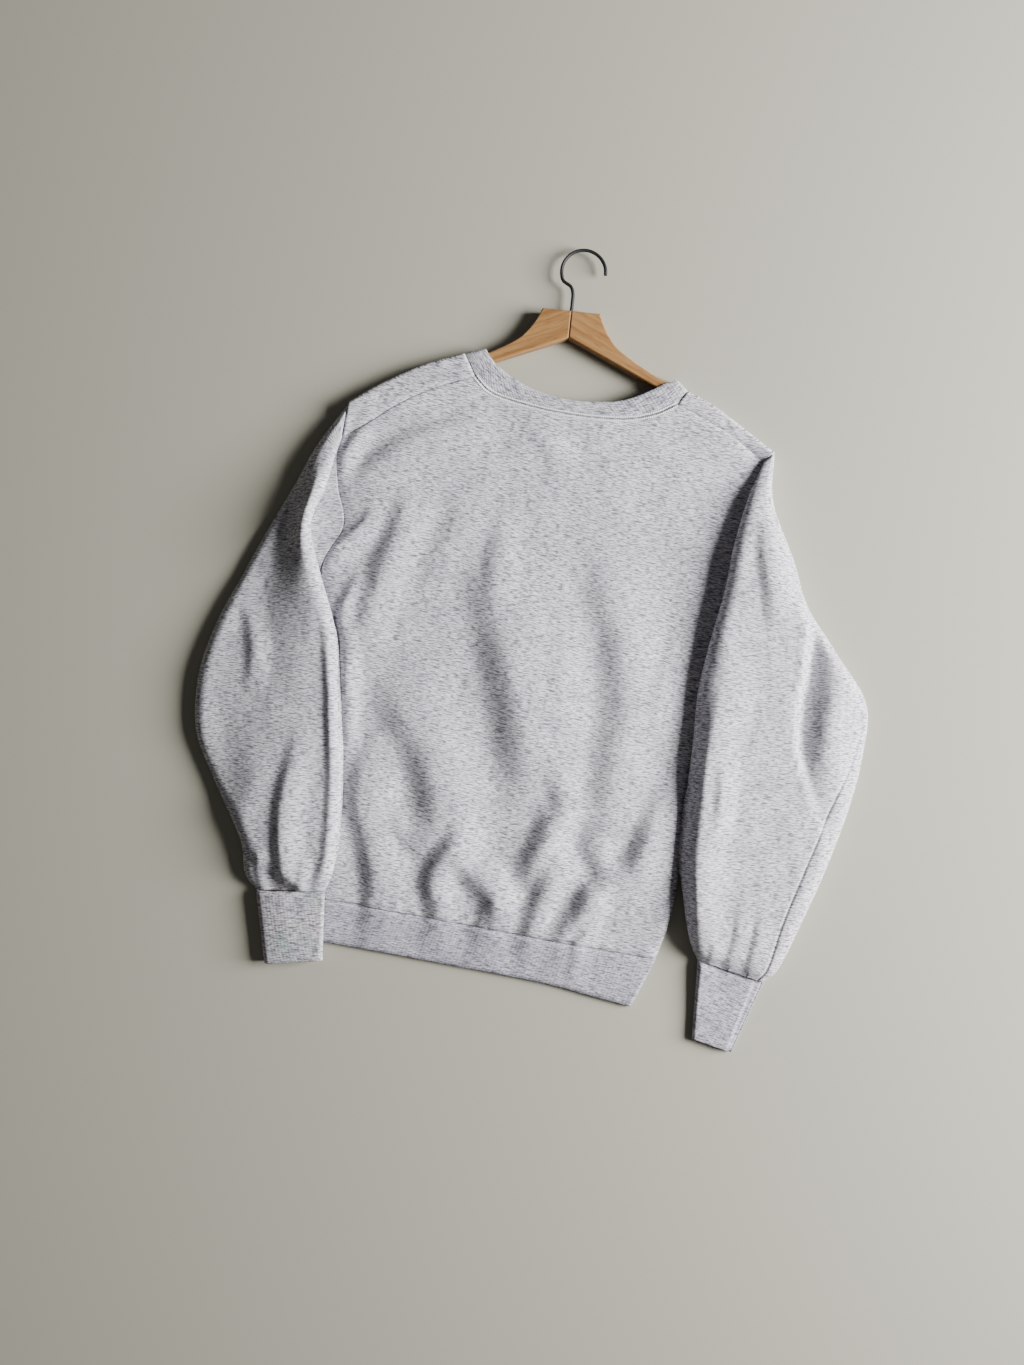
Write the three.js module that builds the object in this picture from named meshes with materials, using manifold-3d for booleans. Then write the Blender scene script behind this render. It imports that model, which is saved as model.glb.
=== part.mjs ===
// A crewneck sweatshirt laid on its front, with a wooden hanger still inside it.
// Millimetres, +Z up. The neck points along +Y and the back of the garment faces up.
import * as THREE from "three";
import { mergeVertices } from "three/addons/utils/BufferGeometryUtils.js";
import Module from "manifold-3d";

const wasm = await Module();
wasm.setup();

// Cloth and seams
const CLOTH = 2; // fleece and rib walls
const SEAM = 0.3; // gap between two pieces that are sewn together
const SEAM_EXTRA = 0.1; // more room at curved seams, where straight facets cut the corner
const REST = 1.8; // air between cloth layers that lie on each other
const MIDDLE = { x: 1, y: 1.9 }; // centre of the whole outline, which becomes the origin

// Body: its two panels, from the hem seam up to the shoulders
const HEM_SEAM_Y = -334;
const SIDE_ROLL = 16; // how far in from its side the back panel reaches full height
const CROWN_FALL = 0.12; // share of its height that the body loses from its middle to its sides
const ARMPIT_Y = 30; // the table of sides ends here
const ARMPIT_FADE = 60; // how far below the armpit the side bends over to the armhole

// Side of the body from the hem up to the armpit: left and right edge
const SIDES = [
  { y: -388, left: -207, right: 169 },
  { y: -334, left: -222, right: 186 },
  { y: -280, left: -224, right: 195 },
  { y: -225, left: -227, right: 194 },
  { y: -170, left: -231, right: 187 },
  { y: -105, left: -238, right: 191 },
  { y: -40, left: -247, right: 204 },
  { y: 30, left: -256, right: 215 },
];

// Height of the back panel's upper face: along the middle and at its side edges
const BACK_HEIGHTS = [
  { y: -390, middle: 6.5, edge: 4.4 },
  { y: -334, middle: 7, edge: 4.4 },
  { y: -270, middle: 13, edge: 4.4 },
  { y: -150, middle: 15, edge: 4.4 },
  { y: -40, middle: 15, edge: 4.4 },
  { y: 20, middle: 14, edge: 4.8 },
  { y: 80, middle: 14, edge: 10 },
  { y: 170, middle: 15, edge: 15 },
  { y: 300, middle: 15, edge: 16 },
];

// Shoulder seams and the neck seam on the back, from left to right
const LEFT_SHOULDER_SEAM = [
  { x: -257.5, y: 170 },
  { x: -232, y: 191 },
  { x: -208, y: 213 },
  { x: -172, y: 238 },
  { x: -127, y: 261 },
];
const BACK_NECK = [
  { x: -127, y: 261 },
  { x: -109, y: 248 },
  { x: -80, y: 242 },
  { x: -27, y: 239 },
  { x: 37, y: 244 },
  { x: 74, y: 256 },
  { x: 97, y: 271 },
];
const RIGHT_SHOULDER_SEAM = [
  { x: 97, y: 271 },
  { x: 131, y: 260 },
  { x: 165, y: 246 },
  { x: 201.5, y: 227 },
];

// Line where the front panel folds over the shoulders, left and right
const LEFT_SHOULDER_FOLD = [
  { x: -258, y: 209 },
  { x: -231, y: 232 },
  { x: -186, y: 263 },
  { x: -143, y: 284 },
];
const RIGHT_SHOULDER_FOLD = [
  { x: 106, y: 288 },
  { x: 134, y: 279 },
  { x: 176, y: 258 },
  { x: 212, y: 239 },
];
const SHOULDER_HEIGHT = 17.5; // top of the cloth where it goes over the hanger
const HANGER_DRAPE = { from: 11, to: 50 }; // distances from the arms between which the cloth falls off

// Folds of the back: each is a crest line from top to bottom, in x, y and height.
// A fold is steep on the left of its crest and gentle on the right.
const BACK_FOLDS = [
  { steep: 18, gentle: 40, crest: [[-176, 112, 0], [-186, 60, 11], [-196, -10, 12], [-199, -70, 0]] },
  {
    steep: 26,
    gentle: 62,
    crest: [
      [-130, 90, 0], [-138, 7, 6], [-140, -50, 6], [-118, -128, 12], [-94, -165, 13],
      [-74, -205, 10], [-70, -250, 0],
    ],
  },
  {
    steep: 30,
    gentle: 80,
    crest: [
      [-70, 90, 0], [-50, 8, 9], [-34, -35, 13], [-18, -76, 14], [4, -122, 12], [13, -165, 8],
      [14, -200, 0],
    ],
  },
  {
    steep: 25,
    gentle: 70,
    crest: [
      [52, 95, 0], [66, 40, 5], [98, -30, 9], [106, -70, 9], [101, -135, 8], [111, -190, 6],
      [116, -225, 0],
    ],
  },
  {
    steep: 18,
    gentle: 40,
    crest: [
      [-152, -130, 0], [-160, -178, 8], [-167, -212, 11], [-149, -255, 11], [-136, -290, 9],
      [-131, -326, 3],
    ],
  },
  {
    steep: 17,
    gentle: 24,
    crest: [[-42, -222, 0], [-58, -258, 9], [-66, -288, 10], [-60, -322, 5], [-56, -334, 2]],
  },
  {
    steep: 17,
    gentle: 26,
    crest: [[-38, -246, 0], [-26, -278, 8], [-2, -296, 9], [4, -322, 5], [3, -334, 2]],
  },
  { steep: 16, gentle: 22, crest: [[47, -184, 0], [43, -222, 9], [39, -252, 8], [41, -284, 0]] },
  { steep: 16, gentle: 22, crest: [[76, -230, 0], [62, -272, 7], [50, -304, 8], [51, -334, 2]] },
  { steep: 16, gentle: 26, crest: [[94, -246, 0], [104, -284, 8], [93, -308, 9], [83, -334, 2]] },
  {
    steep: 18,
    gentle: 36,
    crest: [[167, -136, 0], [158, -188, 10], [152, -226, 11], [140, -256, 9], [114, -276, 0]],
  },
  {
    steep: 22,
    gentle: 60,
    crest: [[-96, 212, 0], [-138, 194, 6], [-180, 170, 8], [-214, 142, 7], [-240, 112, 0]],
  },
  { steep: 12, gentle: 32, crest: [[-212, 96, 0], [-220, 76, 7], [-234, 58, 9], [-248, 40, 4]] },
];

// One sleeve is read from section to section. Each row is a cut across it, from the shoulder
// down to the cuff, between its inner edge (over the body) and its outer edge (on the floor):
// seam is how far the armhole or underarm seam lies out from the inner edge, crest the height
// of the upper layer, lip the height of the inner edge, ridge the share of the width where the
// upper layer ends, and flap the height of the layer beyond it.
const SLEEVE_COLUMNS = ["innerX", "innerY", "outerX", "outerY", "seam", "crest", "lip", "ridge", "flap"];
const ARMPIT_ROW = 4;
const table = (columns, rows) =>
  rows.map((row) => Object.fromEntries(columns.map((name, i) => [name, row[i]])));
const LEFT_SLEEVE = table(SLEEVE_COLUMNS, [
  [-257.5, 170, -258.5, 209, 0, 20, 18.5, 1, 17],
  [-260, 150, -286, 154, 0, 24, 19, 0.9, 18],
  [-264, 112, -302, 108, -12, 31, 22, 0.6, 14],
  [-272, 68, -320, 60, -33, 35, 24, 0.4, 12],
  [-254, 20, -340, 2, 3, 34, 22, 0.4, 11],
  [-228, -36, -358, -52, 27, 31, 17, 0.46, 12],
  [-211, -98, -368, -112, 36, 29, 15, 0.52, 14],
  [-197, -160, -360, -176, 43, 28, 14, 0.66, 12],
  [-187, -215, -328, -230, 49, 27, 14, 0.82, 12],
  [-181, -268, -290, -286, 52, 26, 14, 1, 20],
  [-181, -304, -278, -322, 50, 23, 16, 0.6, 16],
  [-186, -324, -262, -338, 44, 18, 14, 0.4, 9],
]);
const RIGHT_SLEEVE = table(SLEEVE_COLUMNS, [
  [201.5, 227, 213, 239, 0, 20, 18.5, 1, 17],
  [190, 182, 221, 186, 13, 34, 25, 1, 24],
  [184, 128, 256, 126, 24, 42, 29, 1, 24],
  [183, 80, 280, 80, 29, 42, 29, 0.95, 22],
  [179, 30, 322, 34, 37, 38, 25, 0.74, 17],
  [176, -32, 364, -14, 37, 34, 19, 0.59, 17],
  [181, -92, 370, -72, 22, 32, 16, 0.6, 20],
  [185, -152, 366, -128, 12, 30, 14, 0.75, 23],
  [190, -214, 354, -196, 11, 28, 12, 1, 22],
  [205, -268, 338, -262, 12, 25, 11, 1, 19],
  [219, -306, 322, -318, 14, 19, 10, 1, 15],
  [232, -326, 308, -337, 16, 10, 6, 1, 9],
]);
const LEFT_SLEEVE_FOLDS = [
  {
    steep: 14,
    gentle: 12,
    crest: [
      [-236, -30, 0], [-222, -92, 6], [-208, -162, 7], [-196, -214, 6], [-187, -262, 4],
      [-186, -300, 0],
    ],
  },
  {
    steep: 16,
    gentle: 24,
    crest: [
      [-246, -140, 0], [-242, -190, 6], [-250, -228, 9], [-247, -268, 9], [-236, -310, 6],
      [-230, -326, 3],
    ],
  },
];
const RIGHT_SLEEVE_FOLDS = [
  { steep: 18, gentle: 30, crest: [[214, 160, 0], [229, 100, 5], [242, 62, 4], [250, 30, 0]] },
  {
    steep: 20,
    gentle: 24,
    crest: [[306, 46, 0], [327, 4, 6], [329, -40, 7], [322, -84, 4], [324, -120, 0]],
  },
];

// Ribs. The hem band's lower edge, from left to right
const HEM_EDGE = [
  { x: -220, y: -382 },
  { x: -60, y: -382 },
  { x: 70, y: -383 },
  { x: 120, y: -387 },
  { x: 170, y: -391 },
];
const HEM_EDGE_HEIGHT = 6.6; // upper layer of the band above the floor, at its lower edge
const CUFF_HEIGHT = 7.4;
const LEFT_CUFF_END = { innerX: -175, innerY: -400, outerX: -238, outerY: -416 };
const RIGHT_CUFF_END = { innerX: 242, innerY: -413, outerX: 287, outerY: -420 };

// Collar: inner edge of the rib on the back, its two folded ends, and the front neckline
const COLLAR_INNER = [
  { x: -107, y: 278 },
  { x: -88, y: 268 },
  { x: -58, y: 258.5 },
  { x: -22, y: 255 },
  { x: 32, y: 263 },
  { x: 60, y: 277 },
  { x: 78, y: 290 },
];
const COLLAR_TIPS = { left: { x: -121, y: 293.5 }, right: { x: 90.5, y: 299 } };
const FRONT_NECK = [
  { x: -130, y: 250 },
  { x: -108, y: 215 },
  { x: -72, y: 187 },
  { x: -20, y: 175 },
  { x: 32, y: 188 },
  { x: 68, y: 216 },
  { x: 92, y: 252 },
];
const FRONT_RIB = 22;

// Hanger, in its own frame: the tip of the notch under the neck is its origin
const HANGER = { x: -33.5, y: 322, turn: THREE.MathUtils.degToRad(4.5), thick: 12, lift: 2.4 };
const HANGER_HALF_LENGTH = 196;
const HANGER_JOINT = 0.3;
const HOOK_WIRE = 3.9;

const { clamp, lerp, smoothstep } = THREE.MathUtils;

// Value of a column where the key column has the value at, on a smooth curve through the rows
function along(rows, key, at, column) {
  const last = rows.length - 1;
  let i = 0;
  while (i < last - 1 && at > rows[i + 1][key]) i++;
  const slope = (k) => {
    const a = rows[Math.max(k - 1, 0)];
    const b = rows[Math.min(k + 1, last)];
    return (b[column] - a[column]) / (b[key] - a[key]);
  };
  const gap = rows[i + 1][key] - rows[i][key];
  const t = clamp((at - rows[i][key]) / gap, 0, 1);
  const rise = t * t * (3 - 2 * t);
  return (
    lerp(rows[i][column], rows[i + 1][column], rise) +
    gap * t * (1 - t) * ((1 - t) * slope(i) - t * slope(i + 1))
  );
}

// The same for a table whose rows are evenly spaced: place counts rows from 0
function atRow(rows, place, column) {
  const last = rows.length - 1;
  const i = Math.min(Math.floor(place), last - 1);
  const value = (k) => rows[clamp(k, 0, last)][column];
  const slope = (k) => (value(k + 1) - value(k - 1)) / (k > 0 && k < last ? 2 : 1);
  const t = place - i;
  const rise = t * t * (3 - 2 * t);
  return lerp(value(i), value(i + 1), rise) + t * (1 - t) * ((1 - t) * slope(i) - t * slope(i + 1));
}

// Quarter circle from 0 to 1: the way a rolled edge rises
const roll = (t) => Math.sqrt(1 - (1 - clamp(t, 0, 1)) ** 2);

// What one fold adds at a place
function foldHeight(fold, x, y) {
  let nearest = Infinity;
  let height = 0;
  for (let k = 0; k + 1 < fold.crest.length; k++) {
    const [ax, ay, ah] = fold.crest[k];
    const [bx, by, bh] = fold.crest[k + 1];
    const dx = bx - ax;
    const dy = by - ay;
    const t = clamp(((x - ax) * dx + (y - ay) * dy) / (dx * dx + dy * dy), 0, 1);
    const away = Math.hypot(x - ax - t * dx, y - ay - t * dy);
    if (away >= nearest) continue;
    nearest = away;
    const steepSide = dx * (y - ay) - dy * (x - ax) < 0;
    const width = steepSide ? fold.steep : fold.gentle;
    height = (lerp(ah, bh, t) * (1 + Math.cos(Math.PI * Math.min(1, away / width)))) / 2;
  }
  return height;
}
const folds = (list, x, y) => list.reduce((sum, fold) => sum + foldHeight(fold, x, y), 0);

// Hanger in the garment's frame, and how far a place is from its arms
function fromHanger(u, v) {
  const c = Math.cos(HANGER.turn);
  const s = Math.sin(HANGER.turn);
  return { x: HANGER.x + u * c - v * s, y: HANGER.y + u * s + v * c };
}
const ARM_DROP = 0.435; // fall of the arms over their length
const ARM_MIDDLE = { start: { along: 20, drop: -4 }, short: 8, rise: 6 };
function distanceToArms(x, y) {
  let nearest = Infinity;
  for (const side of [-1, 1]) {
    const a = fromHanger(side * ARM_MIDDLE.start.along, ARM_MIDDLE.start.drop);
    const reach = HANGER_HALF_LENGTH - ARM_MIDDLE.short;
    const b = fromHanger(side * reach, ARM_MIDDLE.rise - ARM_DROP * reach);
    const dx = b.x - a.x;
    const dy = b.y - a.y;
    const t = clamp(((x - a.x) * dx + (y - a.y) * dy) / (dx * dx + dy * dy), 0, 1);
    nearest = Math.min(nearest, Math.hypot(x - a.x - t * dx, y - a.y - t * dy));
  }
  return nearest;
}

// Side of the body level with y, straight up above the armpit
const sideX = (y, side) => along(SIDES, "y", Math.min(y, ARMPIT_Y), side);

// Upper face of the body at a place
function bodyTop(x, y) {
  const left = sideX(y, "left");
  const right = sideX(y, "right");
  const inside = Math.min(x - left, right - x);
  const middle = along(BACK_HEIGHTS, "y", y, "middle");
  const edge = along(BACK_HEIGHTS, "y", y, "edge");
  const crown = middle * (1 - CROWN_FALL * ((2 * (x - left)) / (right - left) - 1) ** 2);
  const draped = edge + (crown - edge) * roll(inside / SIDE_ROLL) + folds(BACK_FOLDS, x, y);
  const overHanger = 1 - smoothstep(distanceToArms(x, y), HANGER_DRAPE.from, HANGER_DRAPE.to);
  return lerp(draped, Math.max(draped, SHOULDER_HEIGHT), overHanger);
}

// Level direction from one place to another, and the one square to a direction
const goesTo = (from, to) => new THREE.Vector3(to.x - from.x, to.y - from.y, 0).normalize();
const squareTo = ({ x, y }) => new THREE.Vector3(-y, x, 0).normalize();

// A cut edge of a wall stands upright, so two pieces that meet keep their gap through the wall
function makeUpright(inward, beyond, edge) {
  const across = beyond.clone().setZ(0);
  const level = edge.clone().setZ(0);
  if (level.length() > 1e-6) across.addScaledVector(level, -across.dot(level) / level.lengthSq());
  across.normalize();
  const upright = inward.clone().addScaledVector(across, -inward.dot(across));
  if (upright.length() > 0.4) inward.copy(upright.normalize());
}

// A wall of cloth from a grid of points on its outer face: rows of points, outer face on the
// side that the cross product of (along a row) x (from row to row) points away from.
// square holds the level directions that the first and the last row are cut square to.
function wall(rows, closed, square = []) {
  const n = rows.length;
  const m = rows[0].length;
  const across = (j) => (closed ? (j + m) % m : clamp(j, 0, m - 1));
  const inner = rows.map((row, i) =>
    row.map((p, j) => {
      const alongRow = row[across(j + 1)].clone().sub(row[across(j - 1)]);
      const overRows = rows[Math.min(i + 1, n - 1)][j].clone().sub(rows[Math.max(i - 1, 0)][j]);
      const inward = alongRow.clone().cross(overRows).normalize();
      const cut = i === 0 ? square[0] : i === n - 1 ? square[1] : null;
      if (cut) inward.addScaledVector(cut, -inward.dot(cut)).normalize();
      else if (i === 0 || i === n - 1) makeUpright(inward, overRows, alongRow);
      if (!closed && (j === 0 || j === m - 1)) makeUpright(inward, alongRow, overRows);
      return p.clone().addScaledVector(inward, CLOTH);
    }),
  );
  const positions = [...rows.flat(), ...inner.flat()].flatMap((p) => [p.x, p.y, p.z]);
  const faces = [];
  const outerAt = (i, j) => i * m + across(j);
  const innerAt = (i, j) => n * m + i * m + across(j);
  const quad = (a, b, c, d) => faces.push(a, b, c, a, c, d);
  const spans = closed ? m : m - 1;
  for (let i = 0; i + 1 < n; i++) {
    for (let j = 0; j < spans; j++) {
      quad(outerAt(i, j), outerAt(i + 1, j), outerAt(i + 1, j + 1), outerAt(i, j + 1));
      quad(innerAt(i, j), innerAt(i, j + 1), innerAt(i + 1, j + 1), innerAt(i + 1, j));
    }
  }
  for (let j = 0; j < spans; j++) {
    quad(outerAt(0, j), outerAt(0, j + 1), innerAt(0, j + 1), innerAt(0, j));
    quad(outerAt(n - 1, j + 1), outerAt(n - 1, j), innerAt(n - 1, j), innerAt(n - 1, j + 1));
  }
  for (let i = 0; !closed && i + 1 < n; i++) {
    quad(outerAt(i + 1, 0), outerAt(i, 0), innerAt(i, 0), innerAt(i + 1, 0));
    quad(outerAt(i, m - 1), outerAt(i + 1, m - 1), innerAt(i + 1, m - 1), innerAt(i, m - 1));
  }
  const geometry = new THREE.BufferGeometry();
  geometry.setAttribute("position", new THREE.Float32BufferAttribute(positions, 3));
  geometry.setIndex(faces);
  return geometry;
}

// Evenly spaced shares from 0 to 1
const shares = (count) => Array.from({ length: count + 1 }, (_, k) => k / count);

// Sleeve stations: as many above the armpit as the panels have rows there
const ARMHOLE_STEPS = 9;
const SLEEVE_STEPS = 17; // below the armpit
const CUFF_ROW = LEFT_SLEEVE.length - 1;
const sleevePlaces = [
  ...shares(ARMHOLE_STEPS).map((s) => s * ARMPIT_ROW),
  ...shares(SLEEVE_STEPS).slice(1).map((s) => lerp(ARMPIT_ROW, CUFF_ROW, s)),
];

// One section of a sleeve: where its edges lie, and its columns
function section(rows, place) {
  const get = (column) => atRow(rows, place, column);
  const inner = { x: get("innerX"), y: get("innerY") };
  const outer = { x: get("outerX"), y: get("outerY") };
  const width = Math.hypot(outer.x - inner.x, outer.y - inner.y);
  const out = { x: (outer.x - inner.x) / width, y: (outer.y - inner.y) / width };
  const at = (q) => ({ x: inner.x + out.x * q, y: inner.y + out.y * q });
  const columns = Object.fromEntries(SLEEVE_COLUMNS.map((column) => [column, get(column)]));
  return { ...columns, place, at, width, out };
}

// Armhole edge of the panels: the sleeve's seam points above the armpit, from the armpit up
function armhole(rows) {
  return sleevePlaces
    .slice(0, ARMHOLE_STEPS + 1)
    .map((place) => section(rows, place))
    .map((cut) => cut.at(cut.seam))
    .reverse();
}

// Side edge of the body as points from the hem seam to the shoulder seam
const SIDE_STEPS = 24;
function bodySide(rows, side) {
  const above = armhole(rows);
  const pit = above[0];
  const fade = (y) => smoothstep(y, pit.y - ARMPIT_FADE, pit.y);
  const shift = pit.x - sideX(pit.y, side);
  const below = shares(SIDE_STEPS).slice(0, -1).map((s) => {
    const y = lerp(HEM_SEAM_Y, pit.y, s);
    return { x: sideX(y, side) + shift * fade(y), y };
  });
  return [...below, ...above];
}
const leftSide = bodySide(LEFT_SLEEVE, "left");
const rightSide = bodySide(RIGHT_SLEEVE, "right");

// Top edge of the back, left to right: shoulder seam, neck seam, shoulder seam
const SHOULDER_STEPS = 6;
const NECK_STEPS = 20;
function smoothLine(points, steps) {
  const places = points.map((p) => new THREE.Vector3(p.x, p.y, 0));
  const curve = new THREE.CatmullRomCurve3(places, false, "centripetal");
  return shares(steps).map((s) => curve.getPointAt(s));
}
const leftSeam = smoothLine(LEFT_SHOULDER_SEAM, SHOULDER_STEPS);
const neckSeam = smoothLine(BACK_NECK, NECK_STEPS);
const rightSeam = smoothLine(RIGHT_SHOULDER_SEAM, SHOULDER_STEPS);
const backTop = [...leftSeam, ...neckSeam.slice(1), ...rightSeam.slice(1)];

// A patch stretched between four edges given as points
function patch(bottom, top, left, right) {
  const rows = left.length - 1;
  const columns = bottom.length - 1;
  const mix = (a, b, t) => ({ x: lerp(a.x, b.x, t), y: lerp(a.y, b.y, t) });
  return left.map((l, i) => {
    const v = i / rows;
    return bottom.map((b, j) => {
      const u = j / columns;
      const upright = mix(b, top[j], v);
      const level = mix(l, right[i], u);
      const corners = mix(mix(bottom[0], bottom[columns], u), mix(top[0], top[columns], u), v);
      return { x: upright.x + level.x - corners.x, y: upright.y + level.y - corners.y };
    });
  });
}

function backPanel() {
  const columns = backTop.length - 1;
  const hemX = (u) => lerp(leftSide[0].x, rightSide[0].x, u);
  const bottom = shares(columns).map((u) => ({ x: hemX(u), y: HEM_SEAM_Y }));
  const plan = patch(bottom, backTop, leftSide, rightSide);
  // The plan's rows run from the hem up, so the outer face looks up with the row order turned
  const rows = plan.map((row) => row.map((p) => new THREE.Vector3(p.x, p.y, bodyTop(p.x, p.y))));
  return wall(rows.reverse(), false);
}

// Upper face of the hem band, and of whatever the sleeves and cuffs lie on
const hemEdgeY = (x) => along(HEM_EDGE, "x", x, "y");
function hemTop(x, y) {
  const t = clamp((HEM_SEAM_Y - y) / (HEM_SEAM_Y - hemEdgeY(x)), 0, 1);
  return lerp(bodyTop(x, HEM_SEAM_Y), HEM_EDGE_HEIGHT, t);
}
const SLEEVE_CLIMB = { from: -12, to: -0.5 }; // distances inside the body's outline where a layer climbs it
const CUFF_CLIMB = { from: -26, to: -9 };
const NEIGHBOURS = [-4, 0, 4]; // a layer bridges hollows narrower than these
function ground(x, y, climb = SLEEVE_CLIMB) {
  const side = Math.min(x - sideX(y, "left"), sideX(y, "right") - x);
  const inside = Math.min(side, y - hemEdgeY(x));
  const height = y > HEM_SEAM_Y ? bodyTop : hemTop;
  const top = Math.max(...NEIGHBOURS.map((step) => height(x + step, y)));
  return (top + REST) * smoothstep(inside, climb.from, climb.to);
}

// The front panel is flat on the floor up to the shoulders, where it goes over the hanger's edge
const BEND_RADIUS = 5;
const LOWER_BEND = [0, 30, 60, 90]; // degrees
const UPPER_BEND = [90, 120, 150, 180];
const shoulderBend = [...LOWER_BEND, ...UPPER_BEND].map((degrees, i) => {
  const angle = THREE.MathUtils.degToRad(degrees);
  const rise = BEND_RADIUS * (1 - Math.abs(Math.cos(angle)));
  const z = i < LOWER_BEND.length ? rise : SHOULDER_HEIGHT - rise;
  return { out: BEND_RADIUS * Math.sin(angle), z };
});

// Where the bend starts on the floor beside each point of a fold line, and the way out of it
function bends(line, firstOut, lastOut) {
  const points = smoothLine(line, SHOULDER_STEPS);
  return points.map((p, k) => {
    const a = points[Math.max(k - 1, 0)];
    const b = points[Math.min(k + 1, SHOULDER_STEPS)];
    const square = new THREE.Vector3(-(b.y - a.y), b.x - a.x, 0).normalize();
    const out = k === 0 ? firstOut : k === SHOULDER_STEPS ? lastOut : square;
    return { out, start: p.clone().addScaledVector(out, -BEND_RADIUS) };
  });
}
const sleeveHead = (rows) => goesTo(section(rows, 0).at(0), section(rows, 0).at(1));
const neckEnd = {
  left: goesTo(BACK_NECK[0], LEFT_SHOULDER_FOLD.at(-1)),
  right: goesTo(BACK_NECK.at(-1), RIGHT_SHOULDER_FOLD[0]),
};
const leftBends = bends(LEFT_SHOULDER_FOLD, sleeveHead(LEFT_SLEEVE), neckEnd.left);
const rightBends = bends(RIGHT_SHOULDER_FOLD, neckEnd.right, sleeveHead(RIGHT_SLEEVE));
const onBend = ({ out, start }, step) => start.clone().addScaledVector(out, step.out).setZ(step.z);

// A closed solid of a geometry, for joining
function solid(geometry) {
  geometry.deleteAttribute("normal");
  geometry.deleteAttribute("uv");
  const merged = mergeVertices(geometry, 1e-4);
  const triVerts = new Uint32Array(merged.index.array);
  const vertProperties = merged.attributes.position.array;
  return new wasm.Manifold(new wasm.Mesh({ numProp: 3, vertProperties, triVerts }));
}
function geometryOf(made) {
  const mesh = made.getMesh();
  const geometry = new THREE.BufferGeometry();
  geometry.setAttribute("position", new THREE.Float32BufferAttribute(mesh.vertProperties, 3));
  geometry.setIndex(new THREE.BufferAttribute(mesh.triVerts, 1));
  return geometry;
}

const FRONT_NECK_STEPS = 16;
const frontNeckLine = [leftBends.at(-1).start, ...FRONT_NECK, rightBends[0].start];
const frontNeck = smoothLine(frontNeckLine, FRONT_NECK_STEPS);

const STRIP_ROOT = 0.6; // how far the strip over the shoulder runs into the flat part
function shoulderStrip(bendRows, seam) {
  const rows = bendRows.map((place, k) => {
    const root = place.start.clone().addScaledVector(place.out, -STRIP_ROOT);
    const before = seam[Math.max(k - 1, 0)];
    const after = seam[Math.min(k + 1, SHOULDER_STEPS)];
    const gap = SEAM / squareTo(goesTo(before, after)).dot(place.out);
    const end = seam[k].clone().addScaledVector(place.out, gap);
    end.z = bodyTop(end.x, end.y);
    const over = shoulderBend.map((step) => onBend(place, step));
    return [root, ...over, over.at(-1).clone().lerp(end, 0.5), end];
  });
  return solid(wall(rows.reverse(), false));
}
function frontPanel() {
  const flat = new THREE.Shape();
  const corner = ({ x, y }) => flat.lineTo(x, y);
  flat.moveTo(leftSide[0].x, HEM_SEAM_Y);
  rightSide.forEach(corner);
  rightBends.map(({ start }) => start).reverse().forEach(corner);
  frontNeck.slice(1, -1).reverse().forEach(corner);
  leftBends.map(({ start }) => start).reverse().forEach(corner);
  leftSide.slice(1).reverse().forEach(corner);
  const floor = solid(new THREE.ExtrudeGeometry(flat, { depth: CLOTH, bevelEnabled: false }));
  const withLeft = floor.add(shoulderStrip(leftBends, leftSeam));
  return geometryOf(withLeft.add(shoulderStrip(rightBends, rightSeam)));
}

// Points along a path at even steps, closer together where it bends
const BEND_WEIGHT = 7; // millimetres of path that one radian of bend counts for
function resample(path, count) {
  const gap = (a, b) => Math.hypot(a.q - b.q, a.z - b.z);
  const clean = path.filter((p, i) => i === 0 || gap(p, path[i - 1]) > 1e-3);
  const heading = (i) => Math.atan2(clean[i + 1].z - clean[i].z, clean[i + 1].q - clean[i].q);
  const measure = [0];
  for (let i = 1; i < clean.length; i++) {
    const length = gap(clean[i], clean[i - 1]);
    const turn = i > 1 ? Math.abs(heading(i - 1) - heading(i - 2)) : 0;
    measure.push(measure[i - 1] + length + BEND_WEIGHT * Math.min(turn, 2 * Math.PI - turn));
  }
  const total = measure.at(-1);
  let i = 1;
  return shares(count).map((s) => {
    while (i < clean.length - 1 && measure[i] < s * total) i++;
    const t = (s * total - measure[i - 1]) / (measure[i] - measure[i - 1]);
    return { q: lerp(clean[i - 1].q, clean[i].q, t), z: lerp(clean[i - 1].z, clean[i].z, t) };
  });
}

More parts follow.
